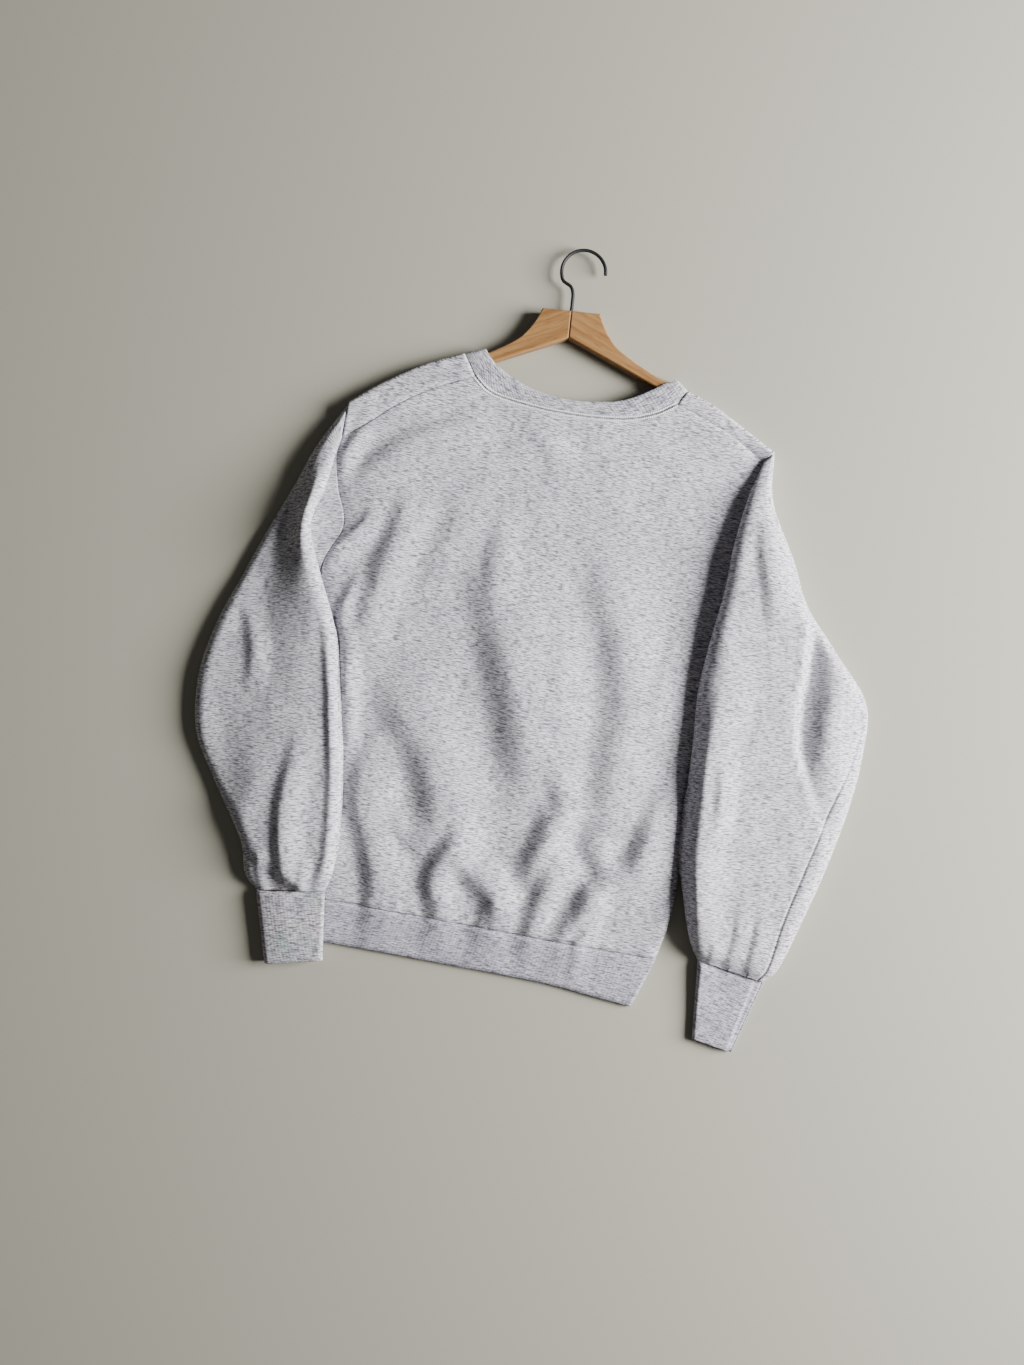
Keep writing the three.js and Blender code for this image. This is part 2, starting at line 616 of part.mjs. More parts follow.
// Outer face of a sleeve across one section, from the back seam round to the front seam. Above
// the armpit it starts on the back panel and turns back over it; just below, it stands up
// beside the body; further down it starts on the floor and goes in under itself.
const OUTER_EDGE = 3.5; // height of the outer edge where it rounds down to the floor
const TUCK = { reach: 5, gap: 0.9 }; // the turn of the seam allowance above the armpit
const ARMPIT_RISE = { start: 2.8, height: 3.5, inset: 2, until: 0.6 };
const LAYER_FALL = 0.12; // share of its height that the upper layer loses towards the outer edge
const RIDGE_DROP = { before: 6, after: 24 }; // where the upper layer falls to the one beyond it
const EDGE_ROLLS = { inner: 14, floor: 5, underMin: 4, underMax: 13 }; // how far the rolled edges reach in
const OUTER_ROLL = { ofHeight: 0.9, ofWidth: 0.45 };
const DENSE = 40; // points along a layer
function sleevePath(cut, list) {
  const { at, width, crest, lip, ridge, flap, seam, place } = cut;
  const below = place - ARMPIT_ROW;
  const open = below <= 0;
  const tuck = open ? smoothstep(place, 0, 1) : 0;
  const path = [];
  const put = (q, z) => path.push({ q, z });
  const spot = at(seam);
  const inset = SEAM / 2 + ARMPIT_RISE.inset * (1 - smoothstep(below, 0.5, 1.5));
  const first = open ? seam : seam - inset;
  const start = open ? bodyTop(spot.x, spot.y) : ARMPIT_RISE.start * (1 - smoothstep(below, 0.45, 0.8));
  const bend = open ? Math.max(first, 0) + TUCK.reach * tuck : first;
  const gap = TUCK.gap * tuck;
  put(first, start);
  if (tuck > 0) {
    const turns = shares(6).map((s) => s * Math.PI);
    turns.forEach((turn) => put(bend + gap * Math.sin(turn), start + gap * (1 - Math.cos(turn))));
  }
  const rise = !open && below < ARMPIT_RISE.until ? ARMPIT_RISE.height : 0;
  if (rise) put(first, start + rise);
  const from = start + rise + 2 * gap;
  const under = clamp(bend, EDGE_ROLLS.underMin, EDGE_ROLLS.underMax);
  for (let k = 1; k <= DENSE && bend > 0; k++) {
    const q = bend * (1 - k / DENSE);
    const { x, y } = at(q);
    const laid = Math.max(from, q < seam || !open ? ground(x, y) : 0);
    put(q, laid + (lip - laid) * (1 - roll(q / under)));
  }
  for (let k = 0; k <= 2 * DENSE; k++) {
    const q = (width * (1 - Math.cos((k / 2 / DENSE) * Math.PI))) / 2;
    const { x, y } = at(q);
    const drop = [ridge * width - RIDGE_DROP.before, ridge * width + RIDGE_DROP.after];
    const beyond = ridge < 1 ? smoothstep(q, ...drop) : 0;
    const upper = crest * (1 - (LAYER_FALL * q) / width);
    const layer = lerp(upper, flap, beyond) + folds(list, x, y);
    const inside = lip + (layer - lip) * roll(q / EDGE_ROLLS.inner);
    const outerRoll = Math.min(OUTER_ROLL.ofHeight * layer, OUTER_ROLL.ofWidth * width);
    put(q, OUTER_EDGE + (inside - OUTER_EDGE) * roll((width - q) / outerRoll));
  }
  const last = seam + (open ? 0 : SEAM / 2);
  for (let k = 1; k <= DENSE; k++) {
    const q = width - ((width - last) * k) / DENSE;
    put(q, OUTER_EDGE * (1 - roll((width - q) / EDGE_ROLLS.floor)));
  }
  return path;
}

const SLEEVE_POINTS = 25;
function sleeve(rows, list, side) {
  const seams = armhole(rows).reverse();
  const beside = (i) => {
    if (i > ARMHOLE_STEPS) return new THREE.Vector3();
    const before = seams[Math.max(i - 1, 0)];
    const after = seams[Math.min(i + 1, ARMHOLE_STEPS)];
    const square = squareTo(goesTo(before, after));
    const away = (side === "left" ? -1 : 1) * Math.sign(square.x);
    return square.multiplyScalar(away * (SEAM + SEAM_EXTRA));
  };
  const grid = sleevePlaces.map((place, i) => {
    const cut = section(rows, place);
    const points = resample(sleevePath(cut, list), SLEEVE_POINTS);
    return points.map(({ q, z }) => new THREE.Vector3(cut.at(q).x, cut.at(q).y, z).add(beside(i)));
  });
  const square = [0, CUFF_ROW].map((row) => squareTo(section(rows, row).out));
  if (side === "left") return wall(grid.reverse(), false, square.reverse());
  return wall(grid, false, square);
}

// A flat tube of rib: rows across it, each with an inner and an outer edge
function flatTube(ends, steps, points, height) {
  const rows = shares(steps).map((s) => {
    const get = (column) => lerp(ends[0][column], ends[1][column], s);
    const inner = new THREE.Vector3(get("innerX"), get("innerY"), 0);
    const across = new THREE.Vector3(get("outerX"), get("outerY"), 0).sub(inner);
    const width = across.length();
    return Array.from({ length: points }, (_, j) => {
      const angle = (2 * Math.PI * j) / points;
      const q = (width * (1 - Math.cos(angle))) / 2;
      const p = inner.clone().addScaledVector(across, q / width);
      const edge = Math.min(roll(q / (height / 2)), roll((width - q) / (height / 2)));
      const layer = Math.sign(Math.sin(angle)) * edge;
      return p.setZ(ground(p.x, p.y, CUFF_CLIMB) + (height / 2) * (1 + layer));
    });
  });
  return rows;
}
const CUFF_ROWS = 5;
const CUFF_POINTS = 22;
function cuff(rows, end, side) {
  const seam = rows.at(-1);
  const along3 = new THREE.Vector2(end.innerX - seam.innerX, end.innerY - seam.innerY).normalize();
  const start = {
    innerX: seam.innerX + SEAM * along3.x,
    innerY: seam.innerY + SEAM * along3.y,
    outerX: seam.outerX + SEAM * along3.x,
    outerY: seam.outerY + SEAM * along3.y,
  };
  const tube = flatTube([start, end], CUFF_ROWS, CUFF_POINTS, CUFF_HEIGHT);
  const across = (cut) => ({ x: cut.outerX - cut.innerX, y: cut.outerY - cut.innerY });
  const square = [start, end].map((cut) => squareTo(across(cut)));
  if (side === "left") return wall(tube.reverse(), true, square.reverse());
  return wall(tube, true, square);
}

// Hem band: a flat ring, its upper layer on the back and its lower one on the floor
const HEM_ROWS = 3;
const HEM_POINTS = { upper: 30, lower: 12 };
function hemRib() {
  const lowest = SIDES[0].y;
  const rows = shares(HEM_ROWS).map((t) => {
    const edge = (x) => lerp(HEM_SEAM_Y - SEAM, hemEdgeY(x), t);
    const left = sideX(lerp(HEM_SEAM_Y, lowest, t), "left");
    const right = sideX(lerp(HEM_SEAM_Y, lowest, t), "right");
    const half = HEM_EDGE_HEIGHT / 2;
    const over = shares(HEM_POINTS.upper).map((s) => {
      const x = lerp(left + half, right - half, s);
      return new THREE.Vector3(x, edge(x), hemTop(x, edge(x)));
    });
    const under = shares(HEM_POINTS.lower).map((s) => {
      const x = lerp(right - half, left + half, s);
      return new THREE.Vector3(x, edge(x), 0);
    });
    const turnAt = (x, out, h) =>
      new THREE.Vector3(x + out * half * Math.sin(h * Math.PI), edge(x), HEM_EDGE_HEIGHT * h);
    const turn = (x, out) => [0.75, 0.5, 0.25].map((h) => turnAt(x, out, h));
    return [...over, ...turn(right - half, 1), ...under, ...turn(left + half, -1).reverse()];
  });
  const down = new THREE.Vector3(0, -1, 0);
  return wall(rows, true, [down, down]);
}

// Collar: a ring of rib, on the back from shoulder to shoulder, folded at both ends, and flat
// on the floor along the front neckline
function collar() {
  const inside = (p, towards) => p.clone().add(towards.clone().sub(p).setLength(SEAM + SEAM_EXTRA));
  const inner = smoothLine(COLLAR_INNER, NECK_STEPS);
  const columns = neckSeam.map((p, k) => {
    const seam = inside(p, inner[k]);
    return [seam.setZ(bodyTop(p.x, p.y)), inner[k].clone().setZ(bodyTop(inner[k].x, inner[k].y))];
  });
  const end = (place, tip, steps) => {
    const start = new THREE.Vector3(tip.x, tip.y, 0).addScaledVector(place.out, -BEND_RADIUS);
    const seamStart = place.start.clone().add(start.clone().sub(place.start).setLength(SEAM + SEAM_EXTRA));
    const seamPlace = { out: place.out, start: seamStart };
    return steps.map((step) => [onBend(seamPlace, step), onBend({ out: place.out, start }, step)]);
  };
  columns.push(...end(rightBends[0], COLLAR_TIPS.right, [...shoulderBend].reverse()));
  for (let k = frontNeck.length - 2; k > 0; k--) {
    const towards = squareTo(goesTo(frontNeck[k - 1], frontNeck[k + 1]));
    const p = frontNeck[k];
    columns.push([p.clone().addScaledVector(towards, SEAM), p.clone().addScaledVector(towards, FRONT_RIB)]);
  }
  columns.push(...end(leftBends.at(-1), COLLAR_TIPS.left, shoulderBend));
  const rows = [0, 0.5, 1].map((t) => columns.map(([a, b]) => a.clone().lerp(b, t)));
  return wall(rows.reverse(), true);
}

// Hanger: two mirrored halves of flat wood that meet in the middle, and a bent wire hook
const HANGER_TOP = { halfWidth: 31.5, height: 29.5 };
const HANGER_BEVEL = 1.2;
function hangerHalf(side) {
  const half = new THREE.Shape();
  half.moveTo(HANGER_JOINT / 2, 0);
  const tip = { x: HANGER_HALF_LENGTH, y: -ARM_DROP * HANGER_HALF_LENGTH };
  half.lineTo(tip.x - 5, tip.y + 5 * ARM_DROP);
  half.quadraticCurveTo(tip.x + 2, tip.y + 1, tip.x - 3, tip.y + 7);
  half.lineTo(112, -38);
  half.quadraticCurveTo(66, -17, 52, -4);
  half.quadraticCurveTo(40, 9, HANGER_TOP.halfWidth + 2.5, 24);
  half.lineTo(HANGER_TOP.halfWidth, HANGER_TOP.height);
  half.lineTo(HANGER_JOINT / 2, HANGER_TOP.height);
  half.closePath();
  const geometry = new THREE.ExtrudeGeometry(half, {
    depth: HANGER.thick - 2 * HANGER_BEVEL,
    curveSegments: 5,
    bevelSize: HANGER_BEVEL,
    bevelThickness: HANGER_BEVEL,
    bevelOffset: -HANGER_BEVEL,
    bevelSegments: 1,
  });
  geometry.translate(0, 0, HANGER_BEVEL);
  if (side < 0) geometry.rotateY(Math.PI).translate(0, 0, HANGER.thick);
  return geometry;
}
const HOOK = { x: 9, y: 75, radius: 24.3, from: 208, to: -2 }; // its bow's centre, and degrees round it
const HOOK_STEM = [[0, HANGER_TOP.height + SEAM], [0, 40], [-0.3, 50], [-3, 57.5]];
function hook() {
  const arc = shares(14).map((s) => {
    const angle = THREE.MathUtils.degToRad(lerp(HOOK.from, HOOK.to, s));
    return [HOOK.x + HOOK.radius * Math.cos(angle), HOOK.y + HOOK.radius * Math.sin(angle)];
  });
  const places = [...HOOK_STEM, ...arc].map(([x, y]) => new THREE.Vector3(x, y, HANGER.thick / 2));
  const route = new THREE.CatmullRomCurve3(places, false, "centripetal");
  const wire = new THREE.Shape().absarc(0, 0, HOOK_WIRE / 2, 0, 2 * Math.PI);
  return new THREE.ExtrudeGeometry(wire, { steps: 40, curveSegments: 4, extrudePath: route });
}

const material = (color, roughness, metalness = 0) =>
  new THREE.MeshStandardMaterial({ color, roughness, metalness });
const FLEECE = material("#cfccd2", 0.95);
const RIB = material("#c2c0c9", 0.95);
const WOOD = material("#b98a58", 0.55);
const WIRE = material("#17181a", 0.4, 0.6);
const garment = new THREE.Group();
function add(parent, name, geometry, look) {
  const mesh = new THREE.Mesh(geometry, look);
  mesh.name = name;
  parent.add(mesh);
  return mesh;
}
add(garment, "back_panel", backPanel(), FLEECE);
add(garment, "front_panel", frontPanel(), FLEECE);
add(garment, "sleeve_left", sleeve(LEFT_SLEEVE, LEFT_SLEEVE_FOLDS, "left"), FLEECE);
add(garment, "sleeve_right", sleeve(RIGHT_SLEEVE, RIGHT_SLEEVE_FOLDS, "right"), FLEECE);
add(garment, "cuff_left", cuff(LEFT_SLEEVE, LEFT_CUFF_END, "left"), RIB);
add(garment, "cuff_right", cuff(RIGHT_SLEEVE, RIGHT_CUFF_END, "right"), RIB);
add(garment, "hem_rib", hemRib(), RIB);
add(garment, "neck_rib", collar(), RIB);

const hanger = new THREE.Group();
hanger.position.set(HANGER.x, HANGER.y, HANGER.lift);
hanger.rotation.z = HANGER.turn;
add(hanger, "hanger_arm_left", hangerHalf(-1), WOOD);
add(hanger, "hanger_arm_right", hangerHalf(1), WOOD);
add(hanger, "hanger_hook", hook(), WIRE);
garment.add(hanger);

garment.position.set(-MIDDLE.x, -MIDDLE.y, 0);
export default garment;
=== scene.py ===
import math
import bpy
import numpy as np
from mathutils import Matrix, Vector
from mathutils.bvhtree import BVHTree


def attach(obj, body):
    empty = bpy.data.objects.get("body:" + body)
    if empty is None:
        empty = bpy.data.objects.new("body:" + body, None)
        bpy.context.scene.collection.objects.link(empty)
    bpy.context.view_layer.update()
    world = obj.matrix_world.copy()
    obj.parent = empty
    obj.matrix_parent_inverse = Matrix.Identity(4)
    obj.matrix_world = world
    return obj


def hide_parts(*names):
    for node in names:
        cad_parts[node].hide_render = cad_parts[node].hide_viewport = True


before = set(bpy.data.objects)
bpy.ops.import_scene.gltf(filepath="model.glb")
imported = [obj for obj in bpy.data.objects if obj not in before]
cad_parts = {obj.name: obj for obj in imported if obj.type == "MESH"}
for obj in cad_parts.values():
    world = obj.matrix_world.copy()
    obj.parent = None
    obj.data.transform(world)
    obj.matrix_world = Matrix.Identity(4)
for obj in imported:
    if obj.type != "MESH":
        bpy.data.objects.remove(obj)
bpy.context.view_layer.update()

# Camera
# The photo looks straight down, with its frame turned a little from the garment.
MM = 0.001
MIDDLE = (1, 1.9)  # centre of the whole outline in the garment's own millimetres
CAMERA_OVER = (-25.7, -61.7)
CAMERA_HEIGHT = 1140
CAMERA_TURN = 10.5  # degrees
LENS = 27.06


def placed(x, y, z):
    """A place in the garment's own millimetres as a place in the frame, in metres"""
    return ((x - MIDDLE[0]) * MM, (y - MIDDLE[1]) * MM, z * MM)


camera_data = bpy.data.cameras.new("camera")
camera_data.lens = LENS
camera = bpy.data.objects.new("camera", camera_data)
camera.location = placed(*CAMERA_OVER, CAMERA_HEIGHT)
camera.rotation_euler = (0, 0, math.radians(CAMERA_TURN))
bpy.context.collection.objects.link(camera)
bpy.context.scene.camera = camera

# Form of the body as it lies
# The back panel's height over the floor comes from its sides, its folds and the hanger below. Lengths
# are in millimetres, x across the garment and y from its hem towards its neck.
CLOTH = 1.9  # thickness
REST = 1.8  # air between layers that lie on each other
HEM_SEAM_Y = -334
LOWEST_Y = -388
ARMPIT_FADE = 60  # how far below the armpit the side bends over to the armhole
SIDE_ROLL = 16  # how far in from its side the back reaches full height
CROWN_FALL = 0.12  # share of its height that the back loses from its middle to its sides
SHOULDER_HEIGHT = 17.5  # top of the cloth where it goes over the hanger
HANGER_DRAPE = (11, 50)  # distances from the arms between which the cloth falls off
# Puckers above the hem seam: their depth, how high up they are deepest, how they fade and their spacing
GATHER = {"depth": 0.5, "above": 3, "fade": 8, "every": 3.4, "drift": 2.4, "over": 19}
SIDES = {
    "y": [-388, -334, -280, -225, -170, -105, -40, 30],
    "left": [-207, -222, -224, -227, -231, -238, -247, -256],
    "right": [169, 186, 195, 194, 187, 191, 204, 215],
}
BACK_HEIGHTS = {
    "y": [-390, -334, -270, -150, -40, 20, 80, 170, 300],
    "middle": [6.5, 7, 13, 15, 15, 14, 14, 15, 15],
    "edge": [4.4, 4.4, 4.4, 4.4, 4.4, 4.8, 10, 15, 16],
}

# One fold a row: width of its steep left side, width of its gentle right side, and the crest line of
# x, y, height from the top down
BACK_FOLDS = [
    (22, 42, [(-166, 128, 0), (-175, 92, 5), (-181, 60, 7), (-189, 18, 7), (-195, -20, 6),
              (-198, -60, 4), (-200, -120, 0)]),
    (36, 74, [(-154, -20, 0), (-148, -84, 3.5), (-131, -118, 7), (-109, -145, 8.5), (-92, -175, 9.5),
              (-80, -205, 9.5), (-78, -236, 7.5), (-84, -272, 0)]),
    (46, 105, [(-70, 96, 0), (-64, 50, 4.5), (-48, 2, 8.5), (-28, -40, 11.5), (-13, -80, 11.5),
              (1, -120, 11), (10, -152, 7.5), (16, -205, 0)]),
    (20, 30, [(-62, 136, 0), (-67, 84, 2.5), (-64, 52, 2.5), (-56, 10, 0)]),
    (24, 40, [(-118, 140, 0), (-112, 106, 2), (-126, 66, 2.5), (-132, 20, 0)]),
    (41, 67, [(48, 120, 0), (60, 58, 5), (80, 20, 7.5), (93, -22, 8.5), (103, -60, 8.5),
              (104, -110, 8.5), (107, -160, 8), (111, -200, 4.5), (112, -245, 0)]),
    (23, 53, [(-158, -130, 0), (-161, -162, 3.5), (-168, -193, 6.5), (-166, -220, 8.5),
              (-152, -250, 8.5), (-140, -280, 8.5), (-132, -305, 7.5), (-128, -332, 4.5)]),
    (23, 34, [(-42, -222, 0), (-51, -247, 7.5), (-65, -272, 9), (-70, -292, 9), (-62, -314, 6.5),
              (-54, -334, 3.5)]),
    (23, 38, [(-44, -252, 0), (-32, -274, 5.5), (-8, -290, 8), (3, -308, 9), (-4, -334, 3.5)]),
    (26, 34, [(46, -182, 0), (47, -206, 8.5), (42, -230, 10.5), (36, -252, 8.5), (31, -284, 0)]),
    (23, 36, [(42, -136, 0), (51, -168, 4.5), (60, -187, 4.5), (72, -212, 0)]),
    (22, 31, [(76, -226, 0), (67, -249, 6), (58, -272, 7.5), (50, -298, 7.5), (46, -320, 6.5),
              (45, -334, 3.5)]),
    (22, 31, [(97, -250, 0), (102, -277, 6.5), (96, -296, 8.5), (86, -312, 8), (78, -334, 3.5)]),
    (13, 19, [(116, -298, 0), (108, -318, 3.5), (100, -334, 3.5)]),
    (26, 55, [(168, -132, 0), (163, -165, 5.5), (157, -195, 9), (151, -222, 10.5), (141, -246, 9),
              (122, -266, 6.5), (100, -277, 3.5), (80, -284, 0)]),
    (22, 29, [(78, -208, 0), (98, -228, 4.5), (112, -246, 5), (124, -268, 0)]),
    (22, 70, [(-96, 220, 0), (-150, 193, 4), (-182, 174, 5.5), (-206, 153, 5.5), (-225, 129, 4.5),
              (-242, 100, 0)]),
    (11, 28, [(-208, 104, 0), (-213, 86, 4), (-226, 67, 6), (-246, 45, 5), (-262, 34, 3)]),
    (10, 20, [(-210, 30, 0), (-218, 3, 5), (-223, -17, 6), (-214, -50, 6), (-203, -100, 6),
              (-194, -145, 5), (-185, -192, 0)]),
    (10, 22, [(-216, 206, 0), (-238, 178, 4), (-250, 152, 5), (-253, 128, 4), (-246, 104, 0)]),
    (18, 30, [(-66, 228, 0), (-42, 209, 2), (-23, 190, 2), (-16, 160, 0)]),
    (18, 24, [(-124, -182, 0), (-142, -199, 2.5), (-160, -216, 0)]),
    (19, 29, [(-124, -214, 0), (-113, -238, 3.5), (-98, -255, 3.5), (-76, -266, 0)]),
    (20, 36, [(-186, -225, 0), (-186, -262, 3.5), (-182, -300, 3.5), (-180, -334, 2.5)]),
    (26, 60, [(20, 60, 0), (26, 0, 1.5), (34, -60, 2), (36, -110, 0)]),
    (16, 26, [(150, 40, 0), (140, -10, 1.5), (140, -60, 2), (146, -110, 0)]),
]
HANGER = {"x": -33.5, "y": 322, "turn": math.radians(4.5)}
HANGER_HALF_LENGTH = 196
ARM_DROP = 0.435  # fall of the arms over their length
ARM_START = (20, -4)  # where an arm's middle line starts, along the hanger and square to it
ARM_END = {"short": 8, "rise": 6}  # how far the line stops short of the tip, and lies over its fall


def curve(x, xs, ys):
    """Smooth curve through points, read at x, and level past its ends"""
    xs, ys = np.asarray(xs, float), np.asarray(ys, float)
    slope = np.gradient(ys, xs)
    slope[1:-1] = (ys[2:] - ys[:-2]) / (xs[2:] - xs[:-2])
    i = np.clip(np.searchsorted(xs, x, side="right") - 1, 0, len(xs) - 2)
    gap = xs[i + 1] - xs[i]
    t = np.clip((x - xs[i]) / gap, 0, 1)
    rise = t * t * (3 - 2 * t)
    bow = gap * t * (1 - t) * ((1 - t) * slope[i] - t * slope[i + 1])
    return ys[i] + (ys[i + 1] - ys[i]) * rise + bow


def smoothstep(x, low, high):
    """Soft step from 0 at low to 1 at high"""
    t = np.clip((x - low) / (high - low), 0, 1)
    return t * t * (3 - 2 * t)


def roll(t):
    """Quarter circle from 0 to 1: the way a rolled edge rises"""
    return np.sqrt(1 - (1 - np.clip(t, 0, 1)) ** 2)


def smooth_line(points, count):
    """Evenly spaced places on a smooth line through points"""
    points = np.asarray(points, float)
    reach = np.r_[0, np.cumsum(np.linalg.norm(np.diff(points[:, :2], axis=0), axis=1))]
    fine = np.linspace(0, reach[-1], 30 * len(points))
    dense = np.column_stack([curve(fine, reach, column) for column in points.T])
    length = np.r_[0, np.cumsum(np.linalg.norm(np.diff(dense[:, :2], axis=0), axis=1))]
    at = np.linspace(0, length[-1], count + 1)
    return np.column_stack([np.interp(at, length, column) for column in dense.T])


def fold_height(x, y, steep, gentle, line):
    """Height of one fold: cosine flanks beside its crest line, the steep one to the left"""
    x, y = np.asarray(x, float)[..., None], np.asarray(y, float)[..., None]
    ax, ay, ah = line[:-1].T
    dx, dy, dh = np.diff(line, axis=0).T
    t = np.clip(((x - ax) * dx + (y - ay) * dy) / (dx * dx + dy * dy), 0, 1)
    away = np.hypot(x - ax - t * dx, y - ay - t * dy)
    width = np.where(dx * (y - ay) - dy * (x - ax) < 0, steep, gentle)
    rise = (ah + dh * t) * (1 + np.cos(np.pi * np.minimum(1, away / width))) / 2
    nearest = np.argmin(away, axis=-1)[..., None]
    return np.take_along_axis(rise, nearest, axis=-1)[..., 0]


def fold_lines(rows):
    return [(steep, gentle, smooth_line(crest, 4 * len(crest))) for steep, gentle, crest in rows]


def folds(lines, x, y):
    return sum(fold_height(x, y, *line) for line in lines)


back_folds = fold_lines(BACK_FOLDS)


def wobble(x, y, height, size):
    """Unevenness with bumps up to height and about as long as size"""
    waves = [(1, 0.31, 0), (-0.62, 0.95, 1.7), (0.27, -1.13, 4.1), (1.41, 0.77, 2.6), (-1.2, 0.52, 5.3)]
    turn = 2 * math.pi / size / 1.6
    return height * (sum(np.sin((a * x + b * y) * turn + c) for a, b, c in waves) / len(waves))


def from_hanger(u, v):
    """A place given along the hanger and square to it"""
    c, s = math.cos(HANGER["turn"]), math.sin(HANGER["turn"])
    return HANGER["x"] + u * c - v * s, HANGER["y"] + u * s + v * c


def distance_to_arms(x, y):
    nearest = np.full(np.shape(x), np.inf)
    reach = HANGER_HALF_LENGTH - ARM_END["short"]
    for side in (-1, 1):
        ax, ay = from_hanger(side * ARM_START[0], ARM_START[1])
        bx, by = from_hanger(side * reach, -ARM_DROP * reach + ARM_END["rise"])
        dx, dy = bx - ax, by - ay
        t = np.clip(((x - ax) * dx + (y - ay) * dy) / (dx * dx + dy * dy), 0, 1)
        nearest = np.minimum(nearest, np.hypot(x - ax - t * dx, y - ay - t * dy))
    return nearest


def side_x(y, side):
    """Side of the body level with y, straight up from the armpit"""
    return curve(y, SIDES["y"], SIDES[side])


def gather(x, y):
    """Small puckers where the back is sewn to the shorter hem band"""
    above = y - HEM_SEAM_Y
    waves = np.sin(x / GATHER["every"] + GATHER["drift"] * np.sin(x / GATHER["over"]))
    fade = np.exp(-np.abs(above - GATHER["above"]) / GATHER["fade"])
    return GATHER["depth"] * waves * fade * (above > 0)


def body_top(x, y):
    """Height of the back's outer face"""
    x, y = np.asarray(x, float), np.asarray(y, float)
    left, right = side_x(y, "left"), side_x(y, "right")
    inside = np.minimum(x - left, right - x)
    middle = curve(y, BACK_HEIGHTS["y"], BACK_HEIGHTS["middle"])
    edge = curve(y, BACK_HEIGHTS["y"], BACK_HEIGHTS["edge"])
    crown = middle * (1 - CROWN_FALL * (2 * (x - left) / (right - left) - 1) ** 2)
    draped = edge + (crown - edge) * roll(inside / SIDE_ROLL) + folds(back_folds, x, y) + gather(x, y)
    over_hanger = 1 - smoothstep(distance_to_arms(x, y), *HANGER_DRAPE)
    return draped + (np.maximum(draped, SHOULDER_HEIGHT) - draped) * over_hanger


HEM_EDGE = {"x": [-220, -60, 70, 120, 170], "y": [-382, -382, -383, -387, -391]}
HEM_EDGE_HEIGHT = 6.6


def hem_edge_y(x):
    return curve(x, HEM_EDGE["x"], HEM_EDGE["y"])


def hem_top(x, y):
    """Height of the hem band's upper layer, from its seam down to its edge"""
    t = np.clip((HEM_SEAM_Y - y) / (HEM_SEAM_Y - hem_edge_y(x)), 0, 1)
    return body_top(x, HEM_SEAM_Y + 0 * x) * (1 - t) + HEM_EDGE_HEIGHT * t


SLEEVE_CLIMB = (-12, -0.5)  # distances inside the body's outline where a layer climbs it
CUFF_CLIMB = (-26, -9)
NEIGHBOURS = (-4, 0, 4)  # a layer bridges hollows narrower than these


def ground(x, y, climb=SLEEVE_CLIMB):
    """Height of what the sleeves and cuffs lie on"""
    side = np.minimum(x - side_x(y, "left"), side_x(y, "right") - x)
    inside = np.minimum(side, y - hem_edge_y(x))
    tops = [np.where(y > HEM_SEAM_Y, body_top(x + step, y), hem_top(x + step, y)) for step in NEIGHBOURS]
    return (np.max(tops, axis=0) + REST) * smoothstep(inside, *climb)


# Sleeves, section by section
# A section runs from the sleeve's inner edge, over the body, to its outer edge on the floor. seam lies
# out from the inner edge. crest, lip and flap are heights: of the upper layer, of the inner edge, and
# of the layer beyond the ridge. ridge is a share of the width, drop half the width of the slope there,
# and groove is where the underarm seam runs, in from the outer edge, or 0 where it is out of sight.
ARMPIT_ROW = 4
LEFT_SLEEVE = {
    "inner_x": [-257.5, -260, -264, -272, -254, -228, -211, -197, -187, -181, -181, -186],
    "inner_y": [170, 150, 112, 68, 20, -36, -98, -160, -215, -268, -304, -324],
    "outer_x": [-258.5, -286, -302, -320, -340, -358, -368, -360, -328, -290, -278, -262],
    "outer_y": [209, 154, 108, 60, 2, -52, -112, -176, -230, -286, -322, -338],
    "seam": [0, 0, -12, -33, 3, 27, 36, 43, 49, 52, 50, 44],
    "crest": [20, 24, 31, 35, 34, 31, 29, 28, 27, 26, 23, 18],
    "lip": [18.5, 19, 22, 24, 22, 17, 15, 14, 14, 14, 16, 14],
    "ridge": [1, 0.9, 0.6, 0.4, 0.4, 0.46, 0.52, 0.66, 0.82, 1, 0.6, 0.4],
    "flap": [17, 18, 15, 14, 14, 16, 18, 16, 15, 20, 16, 9],
    "drop": [12, 12, 14, 16, 26, 42, 54, 46, 24, 12, 12, 12],
    "groove": [0] * 12,
}
RIGHT_SLEEVE = {
    "inner_x": [201.5, 190, 184, 183, 179, 176, 181, 185, 190, 205, 219, 232],
    "inner_y": [227, 182, 128, 80, 30, -32, -92, -152, -214, -268, -306, -326],
    "outer_x": [213, 221, 256, 280, 322, 364, 370, 366, 354, 338, 322, 308],
    "outer_y": [239, 186, 126, 80, 34, -14, -72, -128, -196, -262, -318, -337],
    "seam": [0, 13, 24, 29, 37, 37, 22, 12, 11, 12, 14, 16],
    "crest": [20, 31, 36, 37, 35, 33, 32, 30, 28, 25, 19, 10],
    "lip": [18.5, 23, 25, 25, 22, 18, 16, 14, 12, 11, 10, 6],
    "ridge": [1, 1, 1, 0.95, 0.74, 0.59, 0.6, 0.75, 1, 1, 1, 1],
    "flap": [17, 24, 24, 22, 17, 17, 20, 23, 22, 19, 15, 9],
    "drop": [8] * 12,
    "groove": [0, 0, 0, 0, 0, 5, 14, 25, 28, 25, 15, 8],
}
CUFF_ROW = len(LEFT_SLEEVE["seam"]) - 1
